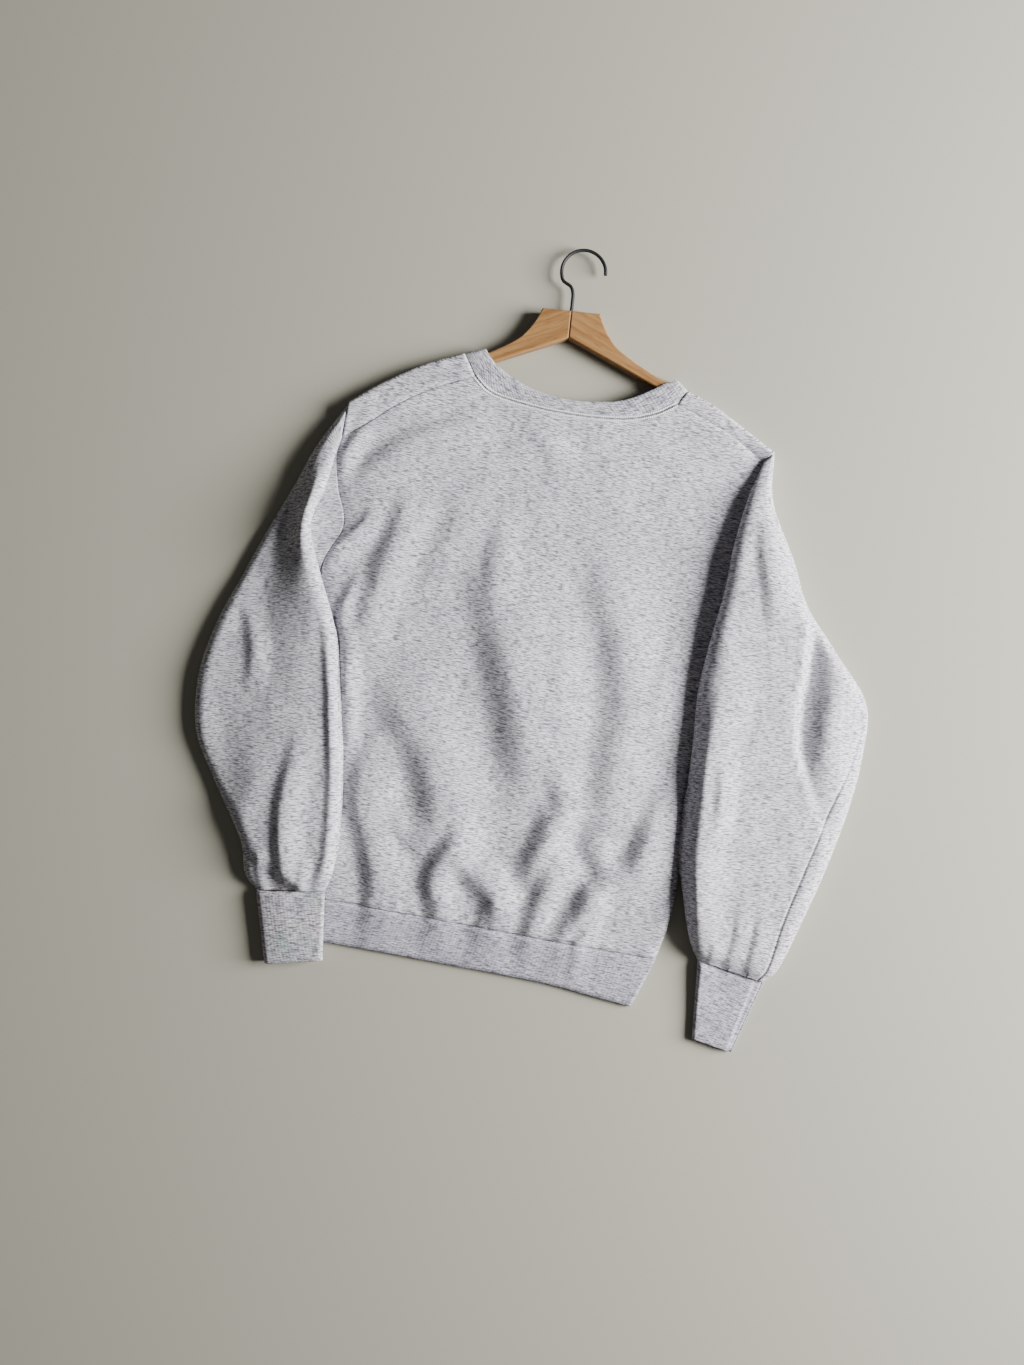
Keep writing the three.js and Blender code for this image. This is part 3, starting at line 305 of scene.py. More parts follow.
LEFT_SLEEVE_FOLDS = [
    (12, 14, [(-238, -16, 0), (-226, -60, 3.5), (-217, -100, 4.5), (-207, -150, 5), (-198, -190, 4),
              (-193, -230, 3), (-189, -262, 3), (-188, -290, 3), (-194, -320, 1)]),
    (16, 30, [(-240, -140, 0), (-243, -190, 4), (-246, -228, 6.5), (-242, -268, 7), (-232, -308, 6.5),
              (-228, -330, 3)]),
    (12, 24, [(-262, 150, 0), (-272, 100, 2.5), (-276, 50, 2), (-270, 10, 0)]),
    (14, 22, [(-330, -16, 0), (-316, -52, 3), (-306, -92, 3), (-308, -130, 0)]),
    (9, 12, [(-262, -282, 0), (-262, -304, 2.5), (-254, -332, 2)]),
    (9, 12, [(-212, -286, 0), (-211, -306, 2), (-213, -330, 2)]),
]
RIGHT_SLEEVE_FOLDS = [
    (15, 30, [(211, 172, 0), (219, 125, 4), (233, 80, 4), (247, 36, 0)]),
    (30, 42, [(294, 72, 0), (311, 40, 7), (319, 0, 11), (322, -40, 12), (324, -80, 10), (327, -108, 5),
              (331, -138, 0)]),
    (15, 42, [(198, 36, 0), (198, -40, 4), (198, -100, 6), (202, -150, 6), (206, -200, 7), (213, -250, 7),
              (224, -300, 4), (231, -328, 0)]),
    (12, 22, [(211, -98, 0), (219, -133, 3), (222, -160, 3), (219, -194, 0)]),
    (9, 18, [(262, -246, 0), (267, -284, 1.6), (266, -324, 1.4)]),
    (9, 18, [(286, -244, 0), (289, -284, 1.8), (288, -324, 1.4)]),
    (7, 12, [(240, -290, 0), (244, -308, 1), (245, -330, 1)]),
]


def section(sleeve, place):
    """One cut across a sleeve; place counts the table's sections from the shoulder"""
    cut = {name: float(curve(place, range(CUFF_ROW + 1), column)) for name, column in sleeve.items()}
    inner = np.array([cut["inner_x"], cut["inner_y"]])
    across = np.array([cut["outer_x"], cut["outer_y"]]) - inner
    cut["width"] = np.linalg.norm(across)
    cut["out"] = across / cut["width"]
    cut["at"] = lambda q: inner + np.multiply.outer(q, cut["out"])
    cut["place"] = place
    return cut


def armhole(sleeve, places):
    """The seam that the sleeve and the panels share, as places in the plan"""
    cuts = [section(sleeve, place) for place in places]
    return np.array([cut["at"](cut["seam"]) for cut in cuts])


# Cloth
# Every piece of cloth is a grid of points on its outer face, made into a thin shell inwards. Its UVs
# are its own lengths in metres, across the grid and along it, so the knit keeps its size.
WELD_REACH = 0.05  # points of neighbouring grids nearer than this become one


def shell(name, parts, closed=False):
    """Object made of grids of points in millimetres, each with the lengths (u, v) of its points"""
    verts, faces, face_uvs = [], [], []
    for grid, lengths in parts:
        rows, columns = grid.shape[:2]
        start = len(verts)
        verts.extend(placed(*point) for point in grid.reshape(-1, 3))
        for i in range(rows - 1):
            for j in range(columns if closed else columns - 1):
                corners = [(i, j), (i + 1, j), (i + 1, j + 1), (i, j + 1)]
                faces.append([start + a * columns + b % columns for a, b in corners])
                face_uvs.extend(lengths[a, b] * MM for a, b in corners)
    mesh = bpy.data.meshes.new(name)
    mesh.from_pydata(verts, [], faces)
    layer = mesh.uv_layers.new(name="lengths")
    layer.data.foreach_set("uv", np.ravel(face_uvs))
    mesh.shade_smooth()
    made = bpy.data.objects.new(name, mesh)
    bpy.context.collection.objects.link(made)
    if len(parts) > 1:
        weld = made.modifiers.new("weld", "WELD")
        weld.merge_threshold = WELD_REACH * MM
    solidify = made.modifiers.new("thickness", "SOLIDIFY")
    solidify.thickness = CLOTH * MM
    solidify.offset = -1
    return made


def own_lengths(grid, closed=False):
    """Lengths across and along a grid, measured on the grid's own points"""
    if closed:
        grid = np.concatenate([grid, grid[:, :1]], axis=1)
    steps = np.linalg.norm(np.diff(grid, axis=1), axis=2)
    u = np.concatenate([np.zeros((len(grid), 1)), np.cumsum(steps, axis=1)], axis=1)
    u -= u.mean(axis=1, keepdims=True)
    down = np.linalg.norm(np.diff(grid, axis=0), axis=2).mean(axis=1)
    v = np.r_[0, np.cumsum(down)][:, None] + np.zeros(u.shape)
    return np.stack([u, v], axis=2)


# Fleece
# Pale heathered jersey: near-white lilac ground with short dark streaks along the knitted rows,
# soft blotches, a fine knit relief and a little nap.
def colour(code):
    """Linear colour of an sRGB hex code"""
    parts = [int(code[i : i + 2], 16) / 255 for i in (1, 3, 5)]
    return tuple(c / 12.92 if c < 0.04045 else ((c + 0.055) / 1.055) ** 2.4 for c in parts) + (1,)


def node(tree, kind, inputs=(), **settings):
    """Adds a shader node; settings are its properties, inputs its sockets as values or as links"""
    made = tree.nodes.new(kind)
    for name, value in settings.items():
        setattr(made, name, value)
    for name, value in dict(inputs).items():
        if isinstance(value, bpy.types.NodeSocket):
            tree.links.new(value, made.inputs[name])
        else:
            made.inputs[name].default_value = value
    return made


def new_material(name, roughness):
    """A material, its node tree and its shader"""
    material = bpy.data.materials.new(name)
    material.use_nodes = True
    shader = material.node_tree.nodes["Principled BSDF"]
    shader.inputs["Roughness"].default_value = roughness
    return material, material.node_tree, shader


def noise_level(tree, mapping, detail, low, high):
    """Noise where a mapping puts it, as a value from 0 to 1 between the levels low and high"""
    sockets = {"Vector": mapping.outputs[0], "Scale": 1.0, "Detail": detail}
    noise = node(tree, "ShaderNodeTexNoise", sockets)
    level = {"Value": noise.outputs["Fac"], "From Min": low, "From Max": high}
    return node(tree, "ShaderNodeMapRange", level).outputs["Result"]


def streaks(tree, lengths, scale, low, high, detail=2.0):
    """Noise drawn out along the knitted rows; scale says how many bumps a metre has each way"""
    stretched = node(tree, "ShaderNodeMapping", {"Vector": lengths, "Scale": scale})
    return noise_level(tree, stretched, detail, low, high)


def mixed(tree, share, first, second):
    """Colour between two others"""
    mix = node(tree, "ShaderNodeMix", {"Factor": share}, data_type="RGBA")
    for socket, value in ((mix.inputs[6], first), (mix.inputs[7], second)):
        if isinstance(value, bpy.types.NodeSocket):
            tree.links.new(value, socket)
        else:
            socket.default_value = value
    return mix.outputs[2]


FLEECE_LIGHT = "#f3f1f6"
FLEECE_SHADE = "#dbd9e2"
FLECK = "#706e79"
FINE_FLECK = "#696772"
KNIT_LOOPS = (900, 1150, 1)  # stitches a metre, across and along
KNIT_DEPTH = 0.4  # deeper than it is, so that it shows
CLOTH_ROUGHNESS = 0.95


def add_nap(shader):
    """The soft, dull surface that the fleece and the rib have in common"""
    shader.inputs["Sheen Weight"].default_value = 0.03
    shader.inputs["Sheen Roughness"].default_value = 0.5
    shader.inputs["Specular IOR Level"].default_value = 0.2


def make_fleece():
    material, tree, shader = new_material("fleece", CLOTH_ROUGHNESS)
    lengths = node(tree, "ShaderNodeUVMap", uv_map="lengths").outputs[0]
    blotches = streaks(tree, lengths, (20, 42, 1), 0.35, 0.75, 3.0)
    flecks = streaks(tree, lengths, (85, 900, 1), 0.47, 0.66)
    fine = streaks(tree, lengths, (190, 1200, 1), 0.46, 0.66)
    ground_colour = mixed(tree, blotches, colour(FLEECE_LIGHT), colour(FLEECE_SHADE))
    flecked = mixed(tree, flecks, ground_colour, colour(FLECK))
    both = mixed(tree, fine, flecked, colour(FINE_FLECK))
    tree.links.new(both, shader.inputs["Base Color"])
    knit = node(tree, "ShaderNodeMapping", {"Vector": lengths, "Scale": KNIT_LOOPS})
    loops = node(tree, "ShaderNodeTexVoronoi", {"Vector": knit.outputs[0], "Scale": 1.0})
    relief = {"Height": loops.outputs["Distance"], "Strength": 0.35, "Distance": KNIT_DEPTH * MM}
    bump = node(tree, "ShaderNodeBump", relief)
    tree.links.new(bump.outputs[0], shader.inputs["Normal"])
    add_nap(shader)
    return material


fleece = make_fleece()

# Back panel
# A patch between the hem seam, the sides and armholes, and the shoulder and neck seams. It dips at
# its edges, where the seams pull it in.
SHOULDER_SEAMS = {
    "left": [(-257.5, 170), (-232, 191), (-208, 213), (-172, 238), (-127, 261)],
    "right": [(97, 271), (131, 260), (165, 246), (201.5, 227)],
}
BACK_NECK = [(-127, 261), (-109, 248), (-80, 242), (-27, 239), (37, 244), (74, 256), (97, 271)]
EDGE_STEPS = [0, 1.3, 2.8, 4.6]  # rows close to an edge, in millimetres from it
SEAM_DIP = 1.3
SEAM_WIDTH = 5  # how far from a seam the cloth dips
FLAT_SEAM_DIP = 0.9  # at the shoulders and neck, where the seams are sewn down
FLAT_SEAM_WIDTH = 4
SIDE_SHARE = 24 / 33  # share of the panel's rows that lie below the armpit
BELOW_ARMPIT = 90  # points of a side
ABOVE_ARMPIT = 40
BACK_WIDTH = 450
BACK_LENGTH = 600
BACK_BUMPS = (0.5, 46)  # height and length


def shares_with_edges(length, count):
    """Shares from 0 to 1, closer together at both ends"""
    near = np.array(EDGE_STEPS) / length
    return np.r_[near, np.linspace(near[-1], 1 - near[-1], count)[1:-1], 1 - near[::-1]]


def body_side(sleeve, side):
    """Side of the panels as a line from the hem seam to the shoulder seam, and each point's share"""
    above = armhole(sleeve, np.linspace(ARMPIT_ROW, 0, ABOVE_ARMPIT))
    pit = above[0]
    y = np.linspace(HEM_SEAM_Y, pit[1], BELOW_ARMPIT)[:-1]
    shift = (pit[0] - side_x(pit[1], side)) * smoothstep(y, pit[1] - ARMPIT_FADE, pit[1])
    line = np.vstack([np.column_stack([side_x(y, side) + shift, y]), above])
    below = np.linspace(0, SIDE_SHARE, BELOW_ARMPIT)[:-1]
    share = np.r_[below, np.linspace(SIDE_SHARE, 1, ABOVE_ARMPIT)]
    return share, line


def read_line(share, line, at):
    return np.column_stack([np.interp(at, share, line[:, 0]), np.interp(at, share, line[:, 1])])


def patch(bottom, top, left, right, u, v):
    """Points of a patch stretched between four edges, as rows from the bottom up"""
    u, v = u[None, :, None], v[:, None, None]
    upright = bottom[None] * (1 - v) + top[None] * v
    level = left[:, None] * (1 - u) + right[:, None] * u
    corners = (bottom[0] * (1 - u) + bottom[-1] * u) * (1 - v) + (top[0] * (1 - u) + top[-1] * u) * v
    return upright + level - corners


left_side = body_side(LEFT_SLEEVE, "left")
right_side = body_side(RIGHT_SLEEVE, "right")


def make_back():
    top_line = np.vstack([
        smooth_line(SHOULDER_SEAMS["left"], 60),
        smooth_line(BACK_NECK, 200)[1:],
        smooth_line(SHOULDER_SEAMS["right"], 60)[1:],
    ])
    u = shares_with_edges(BACK_WIDTH, 150)
    v = shares_with_edges(BACK_LENGTH, 176)
    top = read_line(np.linspace(0, 1, len(top_line)), top_line, u)
    left, right = read_line(*left_side, v), read_line(*right_side, v)
    bottom = left[0] * (1 - u[:, None]) + right[0] * u[:, None]
    plan = patch(bottom, top, left, right, u, v)
    x, y = plan[..., 0], plan[..., 1]
    to_edge = np.minimum(np.minimum(u, 1 - u)[None] * BACK_WIDTH, v[:, None] * BACK_LENGTH)
    dip = SEAM_DIP * (1 - smoothstep(to_edge, 0, SEAM_WIDTH))
    to_top = (1 - v[:, None]) * BACK_LENGTH
    dip = np.maximum(dip, FLAT_SEAM_DIP * (1 - smoothstep(to_top, 0, FLAT_SEAM_WIDTH)))
    z = body_top(x, y) + wobble(x, y, *BACK_BUMPS) - dip
    grid = np.stack([x, y, z], axis=2)[::-1]
    lengths = np.stack([x, y], axis=2)[::-1]
    return shell("back", [(grid, lengths)])


back = make_back()
back.data.materials.append(fleece)
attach(back, "root")
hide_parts("back_panel")

# Front panel
# Flat on the floor up to the shoulders, where it bends over the hanger's edge and comes back to the
# shoulder seams on the upper side.
SHOULDER_FOLDS = {
    "left": [(-258, 209), (-231, 232), (-186, 263), (-143, 284)],
    "right": [(106, 288), (134, 279), (176, 258), (212, 239)],
}
BEND_RADIUS = 5
FRONT_NECK = [(-130, 250), (-108, 215), (-72, 187), (-20, 175), (32, 188), (68, 216), (92, 252)]
SHOULDER_STEPS = 44
BEND_POINTS = 7  # in each half of the bend
CORNER_SHARE = 0.95  # share of the front's side up to its shoulder seam
ENDS_TURN = 6  # the bend turns to its neighbours over a sixth of the fold at each end


def unit(step):
    return np.asarray(step, float) / np.linalg.norm(step)


def bend_profile():
    """The cloth's way over the hanger's edge: how far out, and how high"""
    angle = np.linspace(0, 90, BEND_POINTS)
    low = np.column_stack([np.sin(np.radians(angle)), 1 - np.cos(np.radians(angle))]) * BEND_RADIUS
    high = np.column_stack([low[::-1, 0], SHOULDER_HEIGHT - low[::-1, 1]])
    return np.vstack([low, high])


def bends(side):
    """Where the bend starts on the floor along a shoulder fold, and the level way out of it"""
    line = smooth_line(SHOULDER_FOLDS[side], SHOULDER_STEPS)
    along = np.gradient(line, axis=0)
    square = np.column_stack([-along[:, 1], along[:, 0]])
    square /= np.linalg.norm(square, axis=1, keepdims=True)
    head = section(LEFT_SLEEVE if side == "left" else RIGHT_SLEEVE, 0)["out"]
    neck_seam = BACK_NECK[0] if side == "left" else BACK_NECK[-1]
    neck_fold = SHOULDER_FOLDS[side][-1 if side == "left" else 0]
    neck = unit(np.subtract(neck_fold, neck_seam))
    first, last = (head, neck) if side == "left" else (neck, head)
    share = np.linspace(0, 1, SHOULDER_STEPS + 1)[:, None]
    out = square * np.minimum(1, ENDS_TURN * np.minimum(share, 1 - share))
    out += first * np.clip(1 - ENDS_TURN * share, 0, 1)
    out += last * np.clip(ENDS_TURN * share - ENDS_TURN + 1, 0, 1)
    out /= np.linalg.norm(out, axis=1, keepdims=True)
    return line - BEND_RADIUS * out, out


def shoulder_strip(side):
    """The front's way over the hanger and down to the shoulder seam: points and their lengths"""
    start, out = bends(side)
    seam = smooth_line(SHOULDER_SEAMS[side], SHOULDER_STEPS)
    over = bend_profile()
    share = np.r_[np.linspace(0, 1, 12)[1:-1], 0.95, 1][:, None]
    rows = []
    for k in range(SHOULDER_STEPS + 1):
        bend = np.column_stack([start[k] + over[:, :1] * out[k], over[:, 1]])
        plan = bend[-1, :2] * (1 - share) + seam[k] * share
        edge = np.linalg.norm(plan - seam[k], axis=1)
        height = SHOULDER_HEIGHT * (1 - share[:, 0]) + body_top(*seam[k]) * share[:, 0]
        height -= FLAT_SEAM_DIP * (1 - smoothstep(edge, 0, FLAT_SEAM_WIDTH))
        rows.append(np.vstack([bend, np.column_stack([plan, height])]))
    grid = np.array(rows)[::-1]
    lengths = np.stack([grid[..., 0], grid[..., 1] + grid[..., 2]], axis=2)
    return grid, lengths


def make_front():
    left_start, right_start = bends("left")[0], bends("right")[0]
    neck = smooth_line(np.vstack([left_start[-1], FRONT_NECK, right_start[0]]), 60)
    top_line = np.vstack([left_start, neck[1:-1], right_start])
    u = np.linspace(0, 1, len(top_line))
    v = np.linspace(0, 1, 70)
    sides = []
    for (share, line), corner in ((left_side, left_start[0]), (right_side, right_start[-1])):
        longer = np.vstack([line, corner])
        sides.append(read_line(np.r_[share * CORNER_SHARE, 1], longer, v))
    bottom = sides[0][0] * (1 - u[:, None]) + sides[1][0] * u[:, None]
    plan = patch(bottom, top_line, sides[0], sides[1], u, v)
    flat = np.concatenate([plan, np.zeros(plan.shape[:2] + (1,))], axis=2)
    return shell("front", [(flat, plan), shoulder_strip("left"), shoulder_strip("right")])


front = make_front()
front.data.materials.append(fleece)
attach(front, "root")
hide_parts("front_panel")

# Sleeves
# Each is a tube, laid flat in two layers that fold differently. Above the armpit it starts on the
# back panel and turns back over it; below, its seam lies on the floor beside the body.
OUTER_EDGE = 3.5  # height of the outer edge where it rounds down to the floor
TUCK_REACH = 5  # the turn of the seam allowance above the armpit
TUCK_GAP = 0.9  # half the height of that turn
SEAM_GAP = 0.4  # between a sleeve and the back, and between the collar and the back
SEAM_GAP_END = (3.7, 4)  # sections between which a sleeve's gap closes
SHOULDER_DIP_END = 0.15  # section where the dip at the shoulder seam ends
HALF_SEAM = 0.15  # half the gap between the two edges of the sleeve's own seam
ARMPIT_RISE = {"start": 2.8, "height": 3.5, "inset": 2, "until": 0.6}
LAYER_FALL = 0.12  # share of its height that the upper layer loses towards the outer edge
UNDER_ROLL = (4, 13)  # least and greatest reach of the roll under the inner edge
INNER_ROLL = 14
FLOOR_ROLL = 5
OUTER_ROLL = {"of_height": 0.9, "of_width": 0.45}
GROOVE_WIDTH = 1.5
SLEEVE_BUMPS = (0.6, 38)
LAYER_POINTS = (40, 116, 22)  # in the lower, upper and floor layers
ARMHOLE_STATIONS = 50
SLEEVE_STATIONS = 150


def lower_layer(cut, dense=90):
    """Outer face from the seam, in below the upper layer, to the inner edge: distances and heights"""
    below = cut["place"] - ARMPIT_ROW
    is_open = below <= 0
    seam, lip = cut["seam"], cut["lip"]
    tuck = float(smoothstep(cut["place"], 0, 1)) if is_open else 0
    if is_open:
        first = seam
        start = float(body_top(*cut["at"](seam)))
    else:
        first = seam - HALF_SEAM - ARMPIT_RISE["inset"] * (1 - float(smoothstep(below, 0.5, 1.5)))
        start = ARMPIT_RISE["start"] * (1 - float(smoothstep(below, 0.45, 0.8)))
    path = [[(first, start)]]
    bend = max(first, 0) + TUCK_REACH * tuck if is_open else first
    if tuck > 0:
        turn = np.linspace(0, math.pi, 9)
        gap = TUCK_GAP * tuck
        path.append(np.column_stack([bend + gap * np.sin(turn), start + gap * (1 - np.cos(turn))]))
    rise = ARMPIT_RISE["height"] if 0 < below < ARMPIT_RISE["until"] else 0
    if rise:
        path.append([(first, start + rise)])
    if bend > 0:
        q = bend * (1 - np.arange(1, dense + 1) / dense)
        at = cut["at"](q)
        laid = np.where((q < seam) | (not is_open), ground(at[:, 0], at[:, 1]), 0)
        laid = np.maximum(start + rise + 2 * TUCK_GAP * tuck, laid)
        under = min(max(bend, UNDER_ROLL[0]), UNDER_ROLL[1])
        path.append(np.column_stack([q, laid + (lip - laid) * (1 - roll(q / under))]))
    path.append([(0, lip)])
    return np.vstack(path)


def upper_layer(cut, rows, dense=240):
    """Outer face from the inner edge over to the outer edge"""
    width, lip, crest = cut["width"], cut["lip"], cut["crest"]
    q = width * (1 - np.cos(np.linspace(0, math.pi, dense + 1))) / 2
    at = cut["at"](q)
    ridge = cut["ridge"] * width
    beyond = smoothstep(q, ridge - cut["drop"], ridge + cut["drop"]) if cut["ridge"] < 1 else 0 * q
    layer = crest * (1 - LAYER_FALL * q / width)
    layer = layer + (cut["flap"] - layer) * beyond + folds(rows, at[:, 0], at[:, 1])
    layer += wobble(at[:, 0], at[:, 1], *SLEEVE_BUMPS)
    if cut["groove"]:
        layer -= SEAM_DIP * np.exp(-(((width - q - cut["groove"]) / GROOVE_WIDTH) ** 2))
    inside = lip + (layer - lip) * roll(q / INNER_ROLL)
    reach = np.minimum(OUTER_ROLL["of_height"] * layer, OUTER_ROLL["of_width"] * width)
    outer = roll((width - q) / reach)
    return np.column_stack([q, OUTER_EDGE + (inside - OUTER_EDGE) * outer])


def floor_layer(cut, dense=60):
    """Outer face from the outer edge back to the seam"""
    width, seam = cut["width"], cut["seam"]
    last = seam + (0 if cut["place"] <= ARMPIT_ROW else HALF_SEAM)
    q = width - (width - last) * np.arange(dense + 1) / dense
    return np.column_stack([q, OUTER_EDGE * (1 - roll((width - q) / FLOOR_ROLL))])


def resample(path, count, turning=4):
    """The same path with count + 1 points, closer together where it bends"""
    step = np.diff(path, axis=0)
    length = np.hypot(step[:, 0], step[:, 1])
    step, length = step[length > 1e-4], length[length > 1e-4]
    path = np.vstack([path[:1], path[0] + np.cumsum(step, axis=0)])
    heading = np.unwrap(np.arctan2(step[:, 1], step[:, 0]))
    weight = length + turning * np.minimum(np.abs(np.r_[0, np.diff(heading)]), math.pi)
    measure = np.r_[0, np.cumsum(weight)]
    at = np.linspace(0, measure[-1], count + 1)
    return np.column_stack([np.interp(at, measure, path[:, 0]), np.interp(at, measure, path[:, 1])])


def make_sleeve(name, sleeve, rows, sign):
    rows = fold_lines(rows)
    places = np.r_[
        np.linspace(0, ARMPIT_ROW, ARMHOLE_STATIONS)[:-1],
        np.linspace(ARMPIT_ROW, CUFF_ROW, SLEEVE_STATIONS - ARMHOLE_STATIONS),
    ]
    grid = []
    for place in places:
        cut = section(sleeve, place)
        parts = [lower_layer(cut), upper_layer(cut, rows), floor_layer(cut)]
        parts = [resample(part, count) for part, count in zip(parts, LAYER_POINTS)]
        path = np.vstack([parts[0][:-1], parts[1], parts[2][1:]])
        path[:, 1] -= SEAM_DIP * (1 - float(smoothstep(place, 0, SHOULDER_DIP_END)))
        grid.append(np.column_stack([cut["at"](path[:, 0]), path[:, 1]]))
    grid = np.array(grid)
    seams = armhole(sleeve, places)
    along = np.gradient(seams, axis=0)
    square = np.column_stack([-along[:, 1], along[:, 0]])
    square *= (sign * np.sign(square[:, 0]) * SEAM_GAP / np.linalg.norm(square, axis=1))[:, None]
    grid[..., :2] += (square * (1 - smoothstep(places, *SEAM_GAP_END))[:, None])[:, None]
    if sign < 0:
        grid = grid[::-1]
    return shell(name, [(grid, own_lengths(grid))])


sleeve_left = make_sleeve("sleeve_l", LEFT_SLEEVE, LEFT_SLEEVE_FOLDS, -1)
sleeve_left.data.materials.append(fleece)
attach(sleeve_left, "root")
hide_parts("sleeve_left")

sleeve_right = make_sleeve("sleeve_r", RIGHT_SLEEVE, RIGHT_SLEEVE_FOLDS, 1)
sleeve_right.data.materials.append(fleece)
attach(sleeve_right, "root")
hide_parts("sleeve_right")

# Rib
# The same yarn as the fleece, knitted in fine ribs that run square to the edge, a shade greyer. The plain
# rib, on the hem band and the right cuff, is darker still: painted shade for the hem band's fall away
# from the light.
RIB_PITCH = 1.9
RIB_WAVES = 1000 / RIB_PITCH / 20 * math.pi  # the wave texture repeats every pi / 10


def make_rib(name, light, shade, relief_height, tint=None):
    material, tree, shader = new_material(name, CLOTH_ROUGHNESS)
    lengths = node(tree, "ShaderNodeUVMap", uv_map="lengths").outputs[0]
    blotches = streaks(tree, lengths, (24, 40, 1), 0.35, 0.75, 3.0)
    flecks = streaks(tree, lengths, (85, 850, 1), 0.46, 0.65)
    fine = streaks(tree, lengths, (190, 1150, 1), 0.46, 0.66)
    base = mixed(tree, blotches, colour(light), colour(shade))
    if tint:
        patches = streaks(tree, lengths, (30, 22, 1), 0.52, 0.68, 1.0)
        base = mixed(tree, patches, base, colour(tint))
    flecked = mixed(tree, flecks, base, colour(FLECK))
    tree.links.new(mixed(tree, fine, flecked, colour(FINE_FLECK)), shader.inputs["Base Color"])
    wave = node(tree, "ShaderNodeTexWave", {"Vector": lengths, "Scale": RIB_WAVES})
    relief = {"Height": wave.outputs["Fac"], "Strength": 0.5, "Distance": relief_height * MM}
    bump = node(tree, "ShaderNodeBump", relief)
    tree.links.new(bump.outputs[0], shader.inputs["Normal"])
    add_nap(shader)
    return material


# painted shade: this rib's darker colours stand for the shade of the hem band, which slopes away from the
# light
rib = make_rib("rib", "#d2d0d9", "#b4b2be", 0.12)
collar_rib = make_rib("collar_rib", "#e6e5ea", "#c8c6d0", 0.3)

# Cuffs
# Flat tubes of rib. The left one lies partly on the hem band, the right one on the floor.
CUFF_LENGTH = 80
CUFF_HEIGHT = 7.4
CUFF_LEVEL = 10  # of the upper layer where it lies on the hem band, over its height on the floor
CUFF_RISE = (-85, -4)  # distances inside the body's outline where the upper layer rises to that
CUFF_CORNER = 12  # how softly it rounds the hem's corner
LEAST_CUFF = 0.7  # share of its height that a cuff keeps
SEAM_PULL = 0.22  # share of it that the seam and the fold take at its ends
CUFF_ENDS = {
    "left": {"inner_x": -175, "inner_y": -400, "outer_x": -238, "outer_y": -416},
    "right": {"inner_x": 242, "inner_y": -413, "outer_x": 287, "outer_y": -420},
}
PLEAT = {"start": 13, "end": 8, "lean": 5}  # in from the outer edge, less by lean at the mouth
SEAM = 0.3  # between rib and fleece


def make_cuff(name, sleeve, end, sign, pleat=0, rows=26, points=200):
    """A cuff from its sleeve's last section to its mouth; a pleat lowers its outer part by that depth"""
    corners = ("inner_x", "inner_y", "outer_x", "outer_y")
    seam = np.array([sleeve[corner][-1] for corner in corners], float)
    tip = np.array([end[corner] for corner in corners], float)
    seam = seam + SEAM * np.tile(unit((tip - seam)[:2]), 2)
    grid = []
    for share in shares_with_edges(CUFF_LENGTH, rows):
        inner, outer = np.split(seam * (1 - share) + tip * share, 2)
        width = np.linalg.norm(outer - inner)
        angle = 2 * math.pi * np.arange(points) / points
        q = width * (1 - np.cos(angle)) / 2
        plan = inner + np.multiply.outer(q / width, outer - inner)
        x, y = plan.T
        low = ground(x, y, CUFF_CLIMB)
        inside = np.minimum(side_x(y, "right") - x, x - side_x(y, "left"))
        above = y - hem_edge_y(x)
        corner = -CUFF_CORNER * np.log(np.exp(-inside / CUFF_CORNER) + np.exp(-above / CUFF_CORNER))
        level = CUFF_LEVEL * smoothstep(corner, *CUFF_RISE)
        half = np.maximum(level + CUFF_HEIGHT - low, LEAST_CUFF * CUFF_HEIGHT) / 2
        edge = np.minimum(roll(q / half), roll((width - q) / half))
        to_end = min(share, 1 - share) * CUFF_LENGTH
        pulled = 1 - SEAM_PULL * (1 - float(smoothstep(to_end, 0, SEAM_WIDTH)))
        z = low + half * (1 + np.sign(np.sin(angle)) * edge * pulled)
        lean = PLEAT["lean"] * share
        step = smoothstep(q, width - PLEAT["start"] + lean, width - PLEAT["end"] + lean)
        z -= pleat * (np.sin(angle) > 0) * step
        grid.append(np.column_stack([plan, z]))
    grid = np.array(grid)
    if sign < 0:
        grid = grid[::-1]
    return shell(name, [(grid, own_lengths(grid, True))], closed=True)


cuff_left = make_cuff("cuff_l", LEFT_SLEEVE, CUFF_ENDS["left"], -1)
cuff_left.data.materials.append(make_rib("rib_mottled", "#ece6e8", "#d0ced6", 0.12, "#ccd6d3"))
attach(cuff_left, "root")
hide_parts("cuff_left")

cuff_right = make_cuff("cuff_r", RIGHT_SLEEVE, CUFF_ENDS["right"], 1, pleat=2.2)
# the right cuff shares the rib with painted shade
cuff_right.data.materials.append(rib)
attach(cuff_right, "root")
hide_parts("cuff_right")

# Hem band
# A flat ring: its upper layer carries on from the back, its lower one lies on the floor.
HEM_BAND = 50
HEM_DIP = 2.2
HEM_BUMPS = (0.35, 40)
UPPER_POINTS = 260
LOWER_POINTS = 60


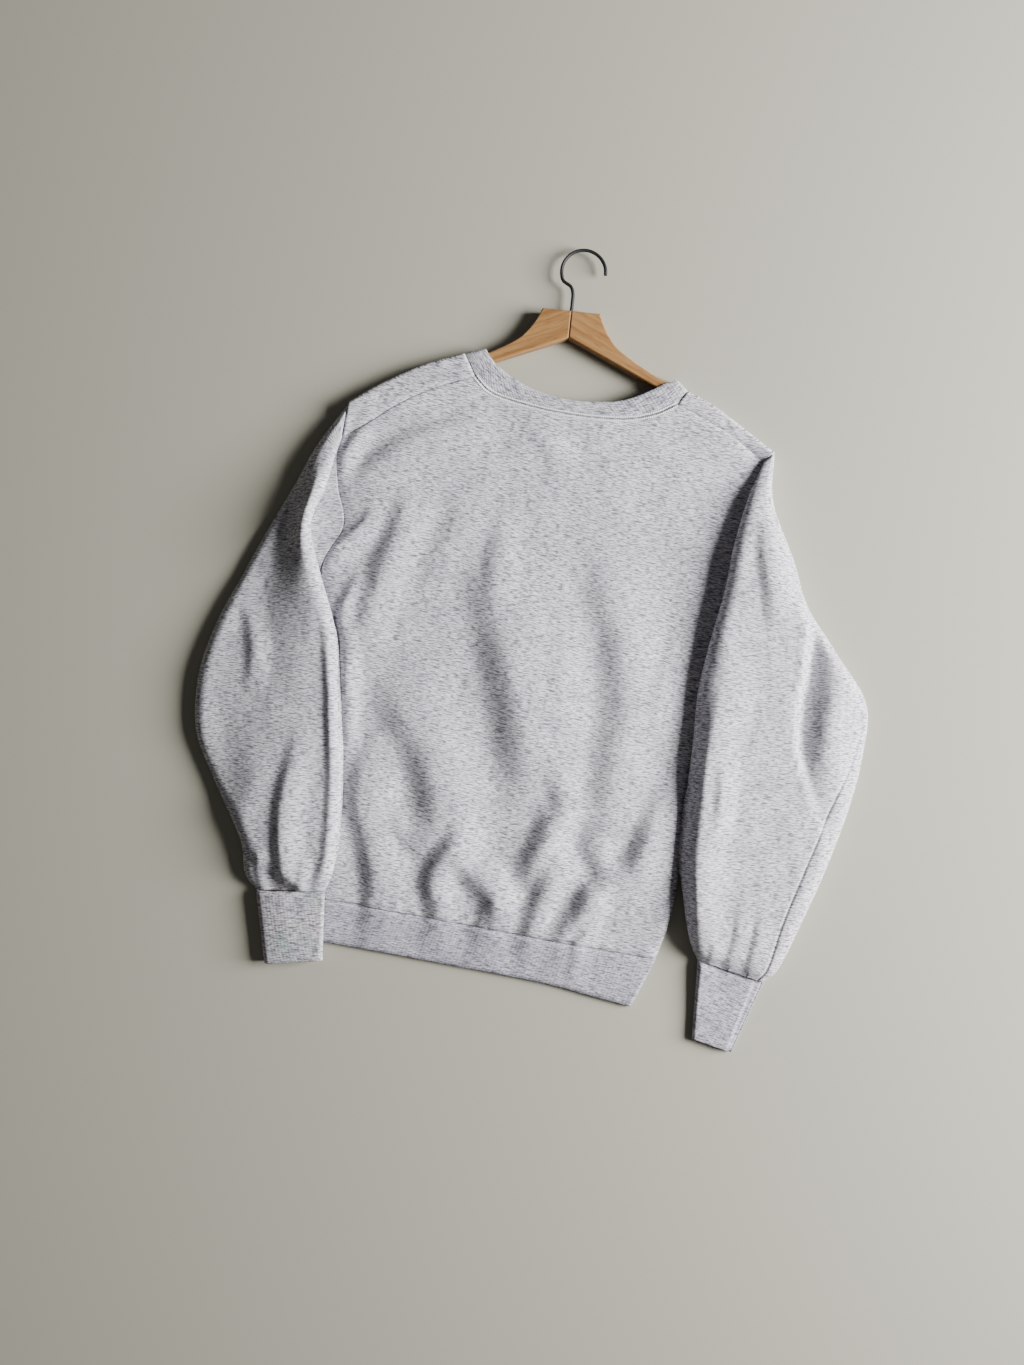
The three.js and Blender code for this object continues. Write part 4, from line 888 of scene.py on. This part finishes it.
def make_hem():
    half = HEM_EDGE_HEIGHT / 2
    grid = []
    for share in shares_with_edges(HEM_BAND, 16):
        row_y = HEM_SEAM_Y * (1 - share) + LOWEST_Y * share
        left, right = side_x(row_y, "left") + half, side_x(row_y, "right") - half
        across = np.linspace(left, right, UPPER_POINTS)
        turn = np.linspace(1, 0, 9)[1:-1]
        sides = [
            (across, hem_top(across, HEM_SEAM_Y - (HEM_SEAM_Y - hem_edge_y(across)) * share)),
            (right + half * np.sin(turn * math.pi), HEM_EDGE_HEIGHT * turn),
            (np.linspace(right, left, LOWER_POINTS), np.zeros(LOWER_POINTS)),
            (left - half * np.sin(turn[::-1] * math.pi), HEM_EDGE_HEIGHT * turn[::-1]),
        ]
        x = np.concatenate([side[0] for side in sides])
        z = np.concatenate([side[1] for side in sides])
        y = (HEM_SEAM_Y - SEAM) * (1 - share) + hem_edge_y(x) * share
        upper = z > half
        to_end = min(share, 1 - share) * HEM_BAND
        z = z - upper * HEM_DIP * (1 - float(smoothstep(to_end, 0, FLAT_SEAM_WIDTH)))
        z = z + upper * wobble(x, y, *HEM_BUMPS)
        grid.append(np.column_stack([x, y, z]))
    grid = np.array(grid)
    return shell("hem_band", [(grid, own_lengths(grid, True))], closed=True)


hem = make_hem()
# the hem band gets the rib with painted shade
hem.data.materials.append(rib)
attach(hem, "root")
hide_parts("hem_rib")

# Collar
# One ring of rib: up along the back neck seam, folded at both ends, and flat on the floor in front.
COLLAR_INNER = [(-107, 278), (-88, 268), (-58, 258.5), (-22, 255), (32, 263), (60, 277), (78, 290)]
COLLAR_TIPS = {"left": (-121, 293.5), "right": (90.5, 299)}
FRONT_RIB = 22
COLLAR_ROWS = 14
COLLAR_PUFF = 0.9  # how far the rib rises between its seam and its folded edge
COLLAR_DIP = 0.5  # how far its seam and its edge lie lower
PUFF_HEIGHTS = (8, 14)  # the rib lies flat below the first and puffs up above the second
NECK_STEPS = 150


def make_collar():
    seam = smooth_line(BACK_NECK, NECK_STEPS)
    inner = smooth_line(COLLAR_INNER, NECK_STEPS)
    towards = (inner - seam) / np.linalg.norm(inner - seam, axis=1, keepdims=True)
    seam = seam + SEAM_GAP * towards
    columns = []
    for a, b in zip(seam, inner):
        columns.append((np.append(a, body_top(*a)), np.append(b, body_top(*b))))

    def folded_end(side, k, profile):
        start, out = bends(side)
        tip = np.array(COLLAR_TIPS[side]) - BEND_RADIUS * out[k]
        near = start[k] + SEAM_GAP * unit(tip - start[k])
        for step, z in profile:
            columns.append((np.append(near + step * out[k], z), np.append(tip + step * out[k], z)))

    over = bend_profile()
    folded_end("right", 0, over[::-1])
    left_start, right_start = bends("left")[0], bends("right")[0]
    front_neck = smooth_line(np.vstack([left_start[-1], FRONT_NECK, right_start[0]]), 80)
    along = np.gradient(front_neck, axis=0)
    square = np.column_stack([-along[:, 1], along[:, 0]]) / np.linalg.norm(along, axis=1, keepdims=True)
    for k in range(78, 1, -1):
        near, far = front_neck[k] + SEAM * square[k], front_neck[k] + FRONT_RIB * square[k]
        columns.append((np.append(near, 0), np.append(far, 0)))
    folded_end("left", -1, over)
    share = np.r_[0, 0.07, 0.15, np.linspace(0.24, 0.9, COLLAR_ROWS - 6), 0.95, 0.98, 1]
    starts, ends = np.array([a for a, _ in columns]), np.array([b for _, b in columns])
    grid = starts[None] * (1 - share[:, None, None]) + ends[None] * share[:, None, None]
    puff = COLLAR_PUFF * smoothstep(share, 0, 0.3) * (1 - smoothstep(share, 0.8, 1) ** 2) - COLLAR_DIP
    puff[-1] -= COLLAR_DIP
    upper = smoothstep(grid[..., 2], *PUFF_HEIGHTS)
    grid[..., 2] += puff[:, None] * upper
    return shell("collar", [(grid[::-1], own_lengths(grid, True)[::-1])], closed=True)


collar = make_collar()
collar.data.materials.append(collar_rib)
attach(collar, "root")
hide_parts("neck_rib")

# Neck stitching
# Two rows of pale thread that hold the collar's seam down, one on the rib and one on the body.
STITCH = 2.4  # from one stitch to the next
STITCHES = 115
STITCH_SHARE = 0.94  # of that length is thread
STITCH_ROWS = (-1.9, 2.1)  # out from the seam
HALF_STITCH = {"width": 1.0, "height": 0.6}
STITCH_LIFT = 0.25  # of its middle over the cloth
STITCH_RINGS = [(-0.5, 0.25), (-0.3, 0.85), (0, 1), (0.3, 0.85), (0.5, 0.25)]  # place, thickness
RING_POINTS = 6
CAST_HEIGHT = 80
THREAD = "#f2f1f4"


def surface_over(piece):
    """Outer face of a piece, whose height is found from above"""
    mesh = piece.data
    points = [vertex.co for vertex in mesh.vertices]
    return BVHTree.FromPolygons(points, [face.vertices for face in mesh.polygons])


def stitch(at, heading, lean):
    """Points of one stitch: a small spindle along its heading"""
    side = np.array([-heading[1], heading[0], 0])
    forward = np.array([heading[0], heading[1], lean])
    points = []
    for along, thick in STITCH_RINGS:
        for k in range(RING_POINTS):
            turn = 2 * math.pi * k / RING_POINTS
            out = side * HALF_STITCH["width"] * thick * math.cos(turn)
            up = (0, 0, HALF_STITCH["height"] * thick * math.sin(turn))
            points.append(at + forward * along * STITCH * STITCH_SHARE + out + up)
    return points


def stitch_faces(start):
    """Faces of a stitch whose points begin at start"""
    faces = []
    for i in range(len(STITCH_RINGS) - 1):
        for j in range(RING_POINTS):
            a = start + RING_POINTS * i + j
            b = start + RING_POINTS * i + (j + 1) % RING_POINTS
            faces.append((a, b, b + RING_POINTS, a + RING_POINTS))
    last = start + RING_POINTS * (len(STITCH_RINGS) - 1)
    faces.append(tuple(start + j for j in reversed(range(RING_POINTS))))
    faces.append(tuple(last + j for j in range(RING_POINTS)))
    return faces


def make_stitching():
    under = [surface_over(collar), surface_over(back)]
    verts, faces = [], []
    for offset, surface in zip(STITCH_ROWS, under):
        line = smooth_line(BACK_NECK, STITCHES)
        along = np.gradient(line, axis=0)
        along /= np.linalg.norm(along, axis=1, keepdims=True)
        line = line + np.column_stack([along[:, 1], -along[:, 0]]) * offset
        tops = []
        for x, y in line:
            hit = surface.ray_cast(Vector(placed(x, y, CAST_HEIGHT)), Vector((0, 0, -1)))[0]
            tops.append(hit.z / MM if hit else float(body_top(x, y)))
        for k in range(1, len(line) - 1):
            lean = (tops[k + 1] - tops[k - 1]) / (2 * STITCH)
            at = np.array([line[k][0], line[k][1], tops[k] + STITCH_LIFT])
            faces.extend(stitch_faces(len(verts)))
            verts.extend(placed(*point) for point in stitch(at, along[k], lean))
    mesh = bpy.data.meshes.new("neck_stitching")
    mesh.from_pydata(verts, [], faces)
    mesh.shade_smooth()
    made = bpy.data.objects.new("neck_stitching", mesh)
    bpy.context.collection.objects.link(made)
    material, _, shader = new_material("thread", 0.7)
    shader.inputs["Base Color"].default_value = colour(THREAD)
    mesh.materials.append(material)
    return made


neck_stitching = make_stitching()
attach(neck_stitching, "root")

# Hanger
# Two flat halves of varnished beech, their grain along the arms, and a matt black wire hook. The
# solids are right as they are, so they get small rounded edges and their finishes.
WOOD_LIGHT = "#a47b4c"
WOOD_DARK = "#875f37"
WOOD_PORE = "#6d4420"
ARM_SLOPE = math.degrees(math.atan(ARM_DROP))
WIRE_BLACK = "#17181a"


def make_wood(name, slope):
    material, tree, shader = new_material(name, 0.42)
    place = node(tree, "ShaderNodeTexCoord").outputs["Object"]
    turn = (0, 0, math.radians(slope))

    def grain(long, wide, low, high, detail):
        sizes = {"Vector": place, "Rotation": turn, "Scale": (long * MM, wide * MM, wide * MM)}
        along = node(tree, "ShaderNodeMapping", sizes, vector_type="TEXTURE")
        return noise_level(tree, along, detail, low, high)

    bands = mixed(tree, grain(90, 4.5, 0.35, 0.65, 2.0), colour(WOOD_LIGHT), colour(WOOD_DARK))
    pores = grain(14, 0.5, 0.58, 0.75, 1.0)
    tree.links.new(mixed(tree, pores, bands, colour(WOOD_PORE)), shader.inputs["Base Color"])
    shader.inputs["Coat Weight"].default_value = 0.25
    shader.inputs["Coat Roughness"].default_value = 0.35
    return material


EDGE_ROUNDING = 1.3


def finish_arm(name, material):
    """Gives a half of the hanger its finish and small rounded edges"""
    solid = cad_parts[name]
    solid.data.materials.clear()
    solid.data.materials.append(material)
    rounded = solid.modifiers.new("edges", "BEVEL")
    rounded.width = EDGE_ROUNDING * MM
    rounded.segments = 3
    rounded.limit_method = "ANGLE"
    rounded.angle_limit = math.radians(50)
    solid.data.shade_smooth()


hanger_turn = math.degrees(HANGER["turn"])
finish_arm("hanger_arm_left", make_wood("beech_left", hanger_turn + ARM_SLOPE))
finish_arm("hanger_arm_right", make_wood("beech_right", hanger_turn - ARM_SLOPE))
black, _, black_shader = new_material("painted_wire", 0.5)
black_shader.inputs["Base Color"].default_value = colour(WIRE_BLACK)
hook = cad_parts["hanger_hook"]
hook.data.materials.clear()
hook.data.materials.append(black)
hook.data.shade_smooth()

# Floor and light
# A plain pale floor, one large soft light from the photo's right, and a little light all round.
FLOOR = "#a9a697"
FLOOR_REACH = 4  # metres from its middle
FLOOR_LEVEL = -0.0004
LIGHT_SIDE = (0.983, 0.182)
LIGHT_HEIGHT = 25  # degrees over the floor
LIGHT_DISTANCE = 2.4
LIGHT_SIZE = 1.2
LIGHT_POWER = 246
FILL = 0.08  # how much light comes from all round
BACKDROP = 0.55  # how bright the room behind the floor looks


def make_floor():
    mesh = bpy.data.meshes.new("floor")
    corners = [(-1, -1), (1, -1), (1, 1), (-1, 1)]
    points = [(FLOOR_REACH * x, FLOOR_REACH * y, FLOOR_LEVEL) for x, y in corners]
    mesh.from_pydata(points, [], [(0, 1, 2, 3)])
    floor = bpy.data.objects.new("floor", mesh)
    bpy.context.collection.objects.link(floor)
    material, _, shader = new_material("floor", 0.9)
    shader.inputs["Base Color"].default_value = colour(FLOOR)
    mesh.materials.append(material)
    return floor


make_floor()
light_data = bpy.data.lights.new("window", "AREA")
light_data.size = LIGHT_SIZE
light_data.energy = LIGHT_POWER
light = bpy.data.objects.new("window", light_data)
light_away = math.cos(math.radians(LIGHT_HEIGHT)) * LIGHT_DISTANCE
light_up = math.sin(math.radians(LIGHT_HEIGHT)) * LIGHT_DISTANCE
light.location = (LIGHT_SIDE[0] * light_away, LIGHT_SIDE[1] * light_away, light_up)
light.rotation_euler = (0, math.radians(90 - LIGHT_HEIGHT), math.atan2(LIGHT_SIDE[1], LIGHT_SIDE[0]))
bpy.context.collection.objects.link(light)
world = bpy.data.worlds.new("world")
world.use_nodes = True
room = world.node_tree.nodes["Background"]
room.inputs["Color"].default_value = (1, 0.98, 0.96, 1)
seen = node(world.node_tree, "ShaderNodeLightPath").outputs["Is Camera Ray"]
by_ray = {"Value": seen, "To Min": FILL, "To Max": BACKDROP}
strength = node(world.node_tree, "ShaderNodeMapRange", by_ray)
world.node_tree.links.new(strength.outputs["Result"], room.inputs["Strength"])
bpy.context.scene.world = world
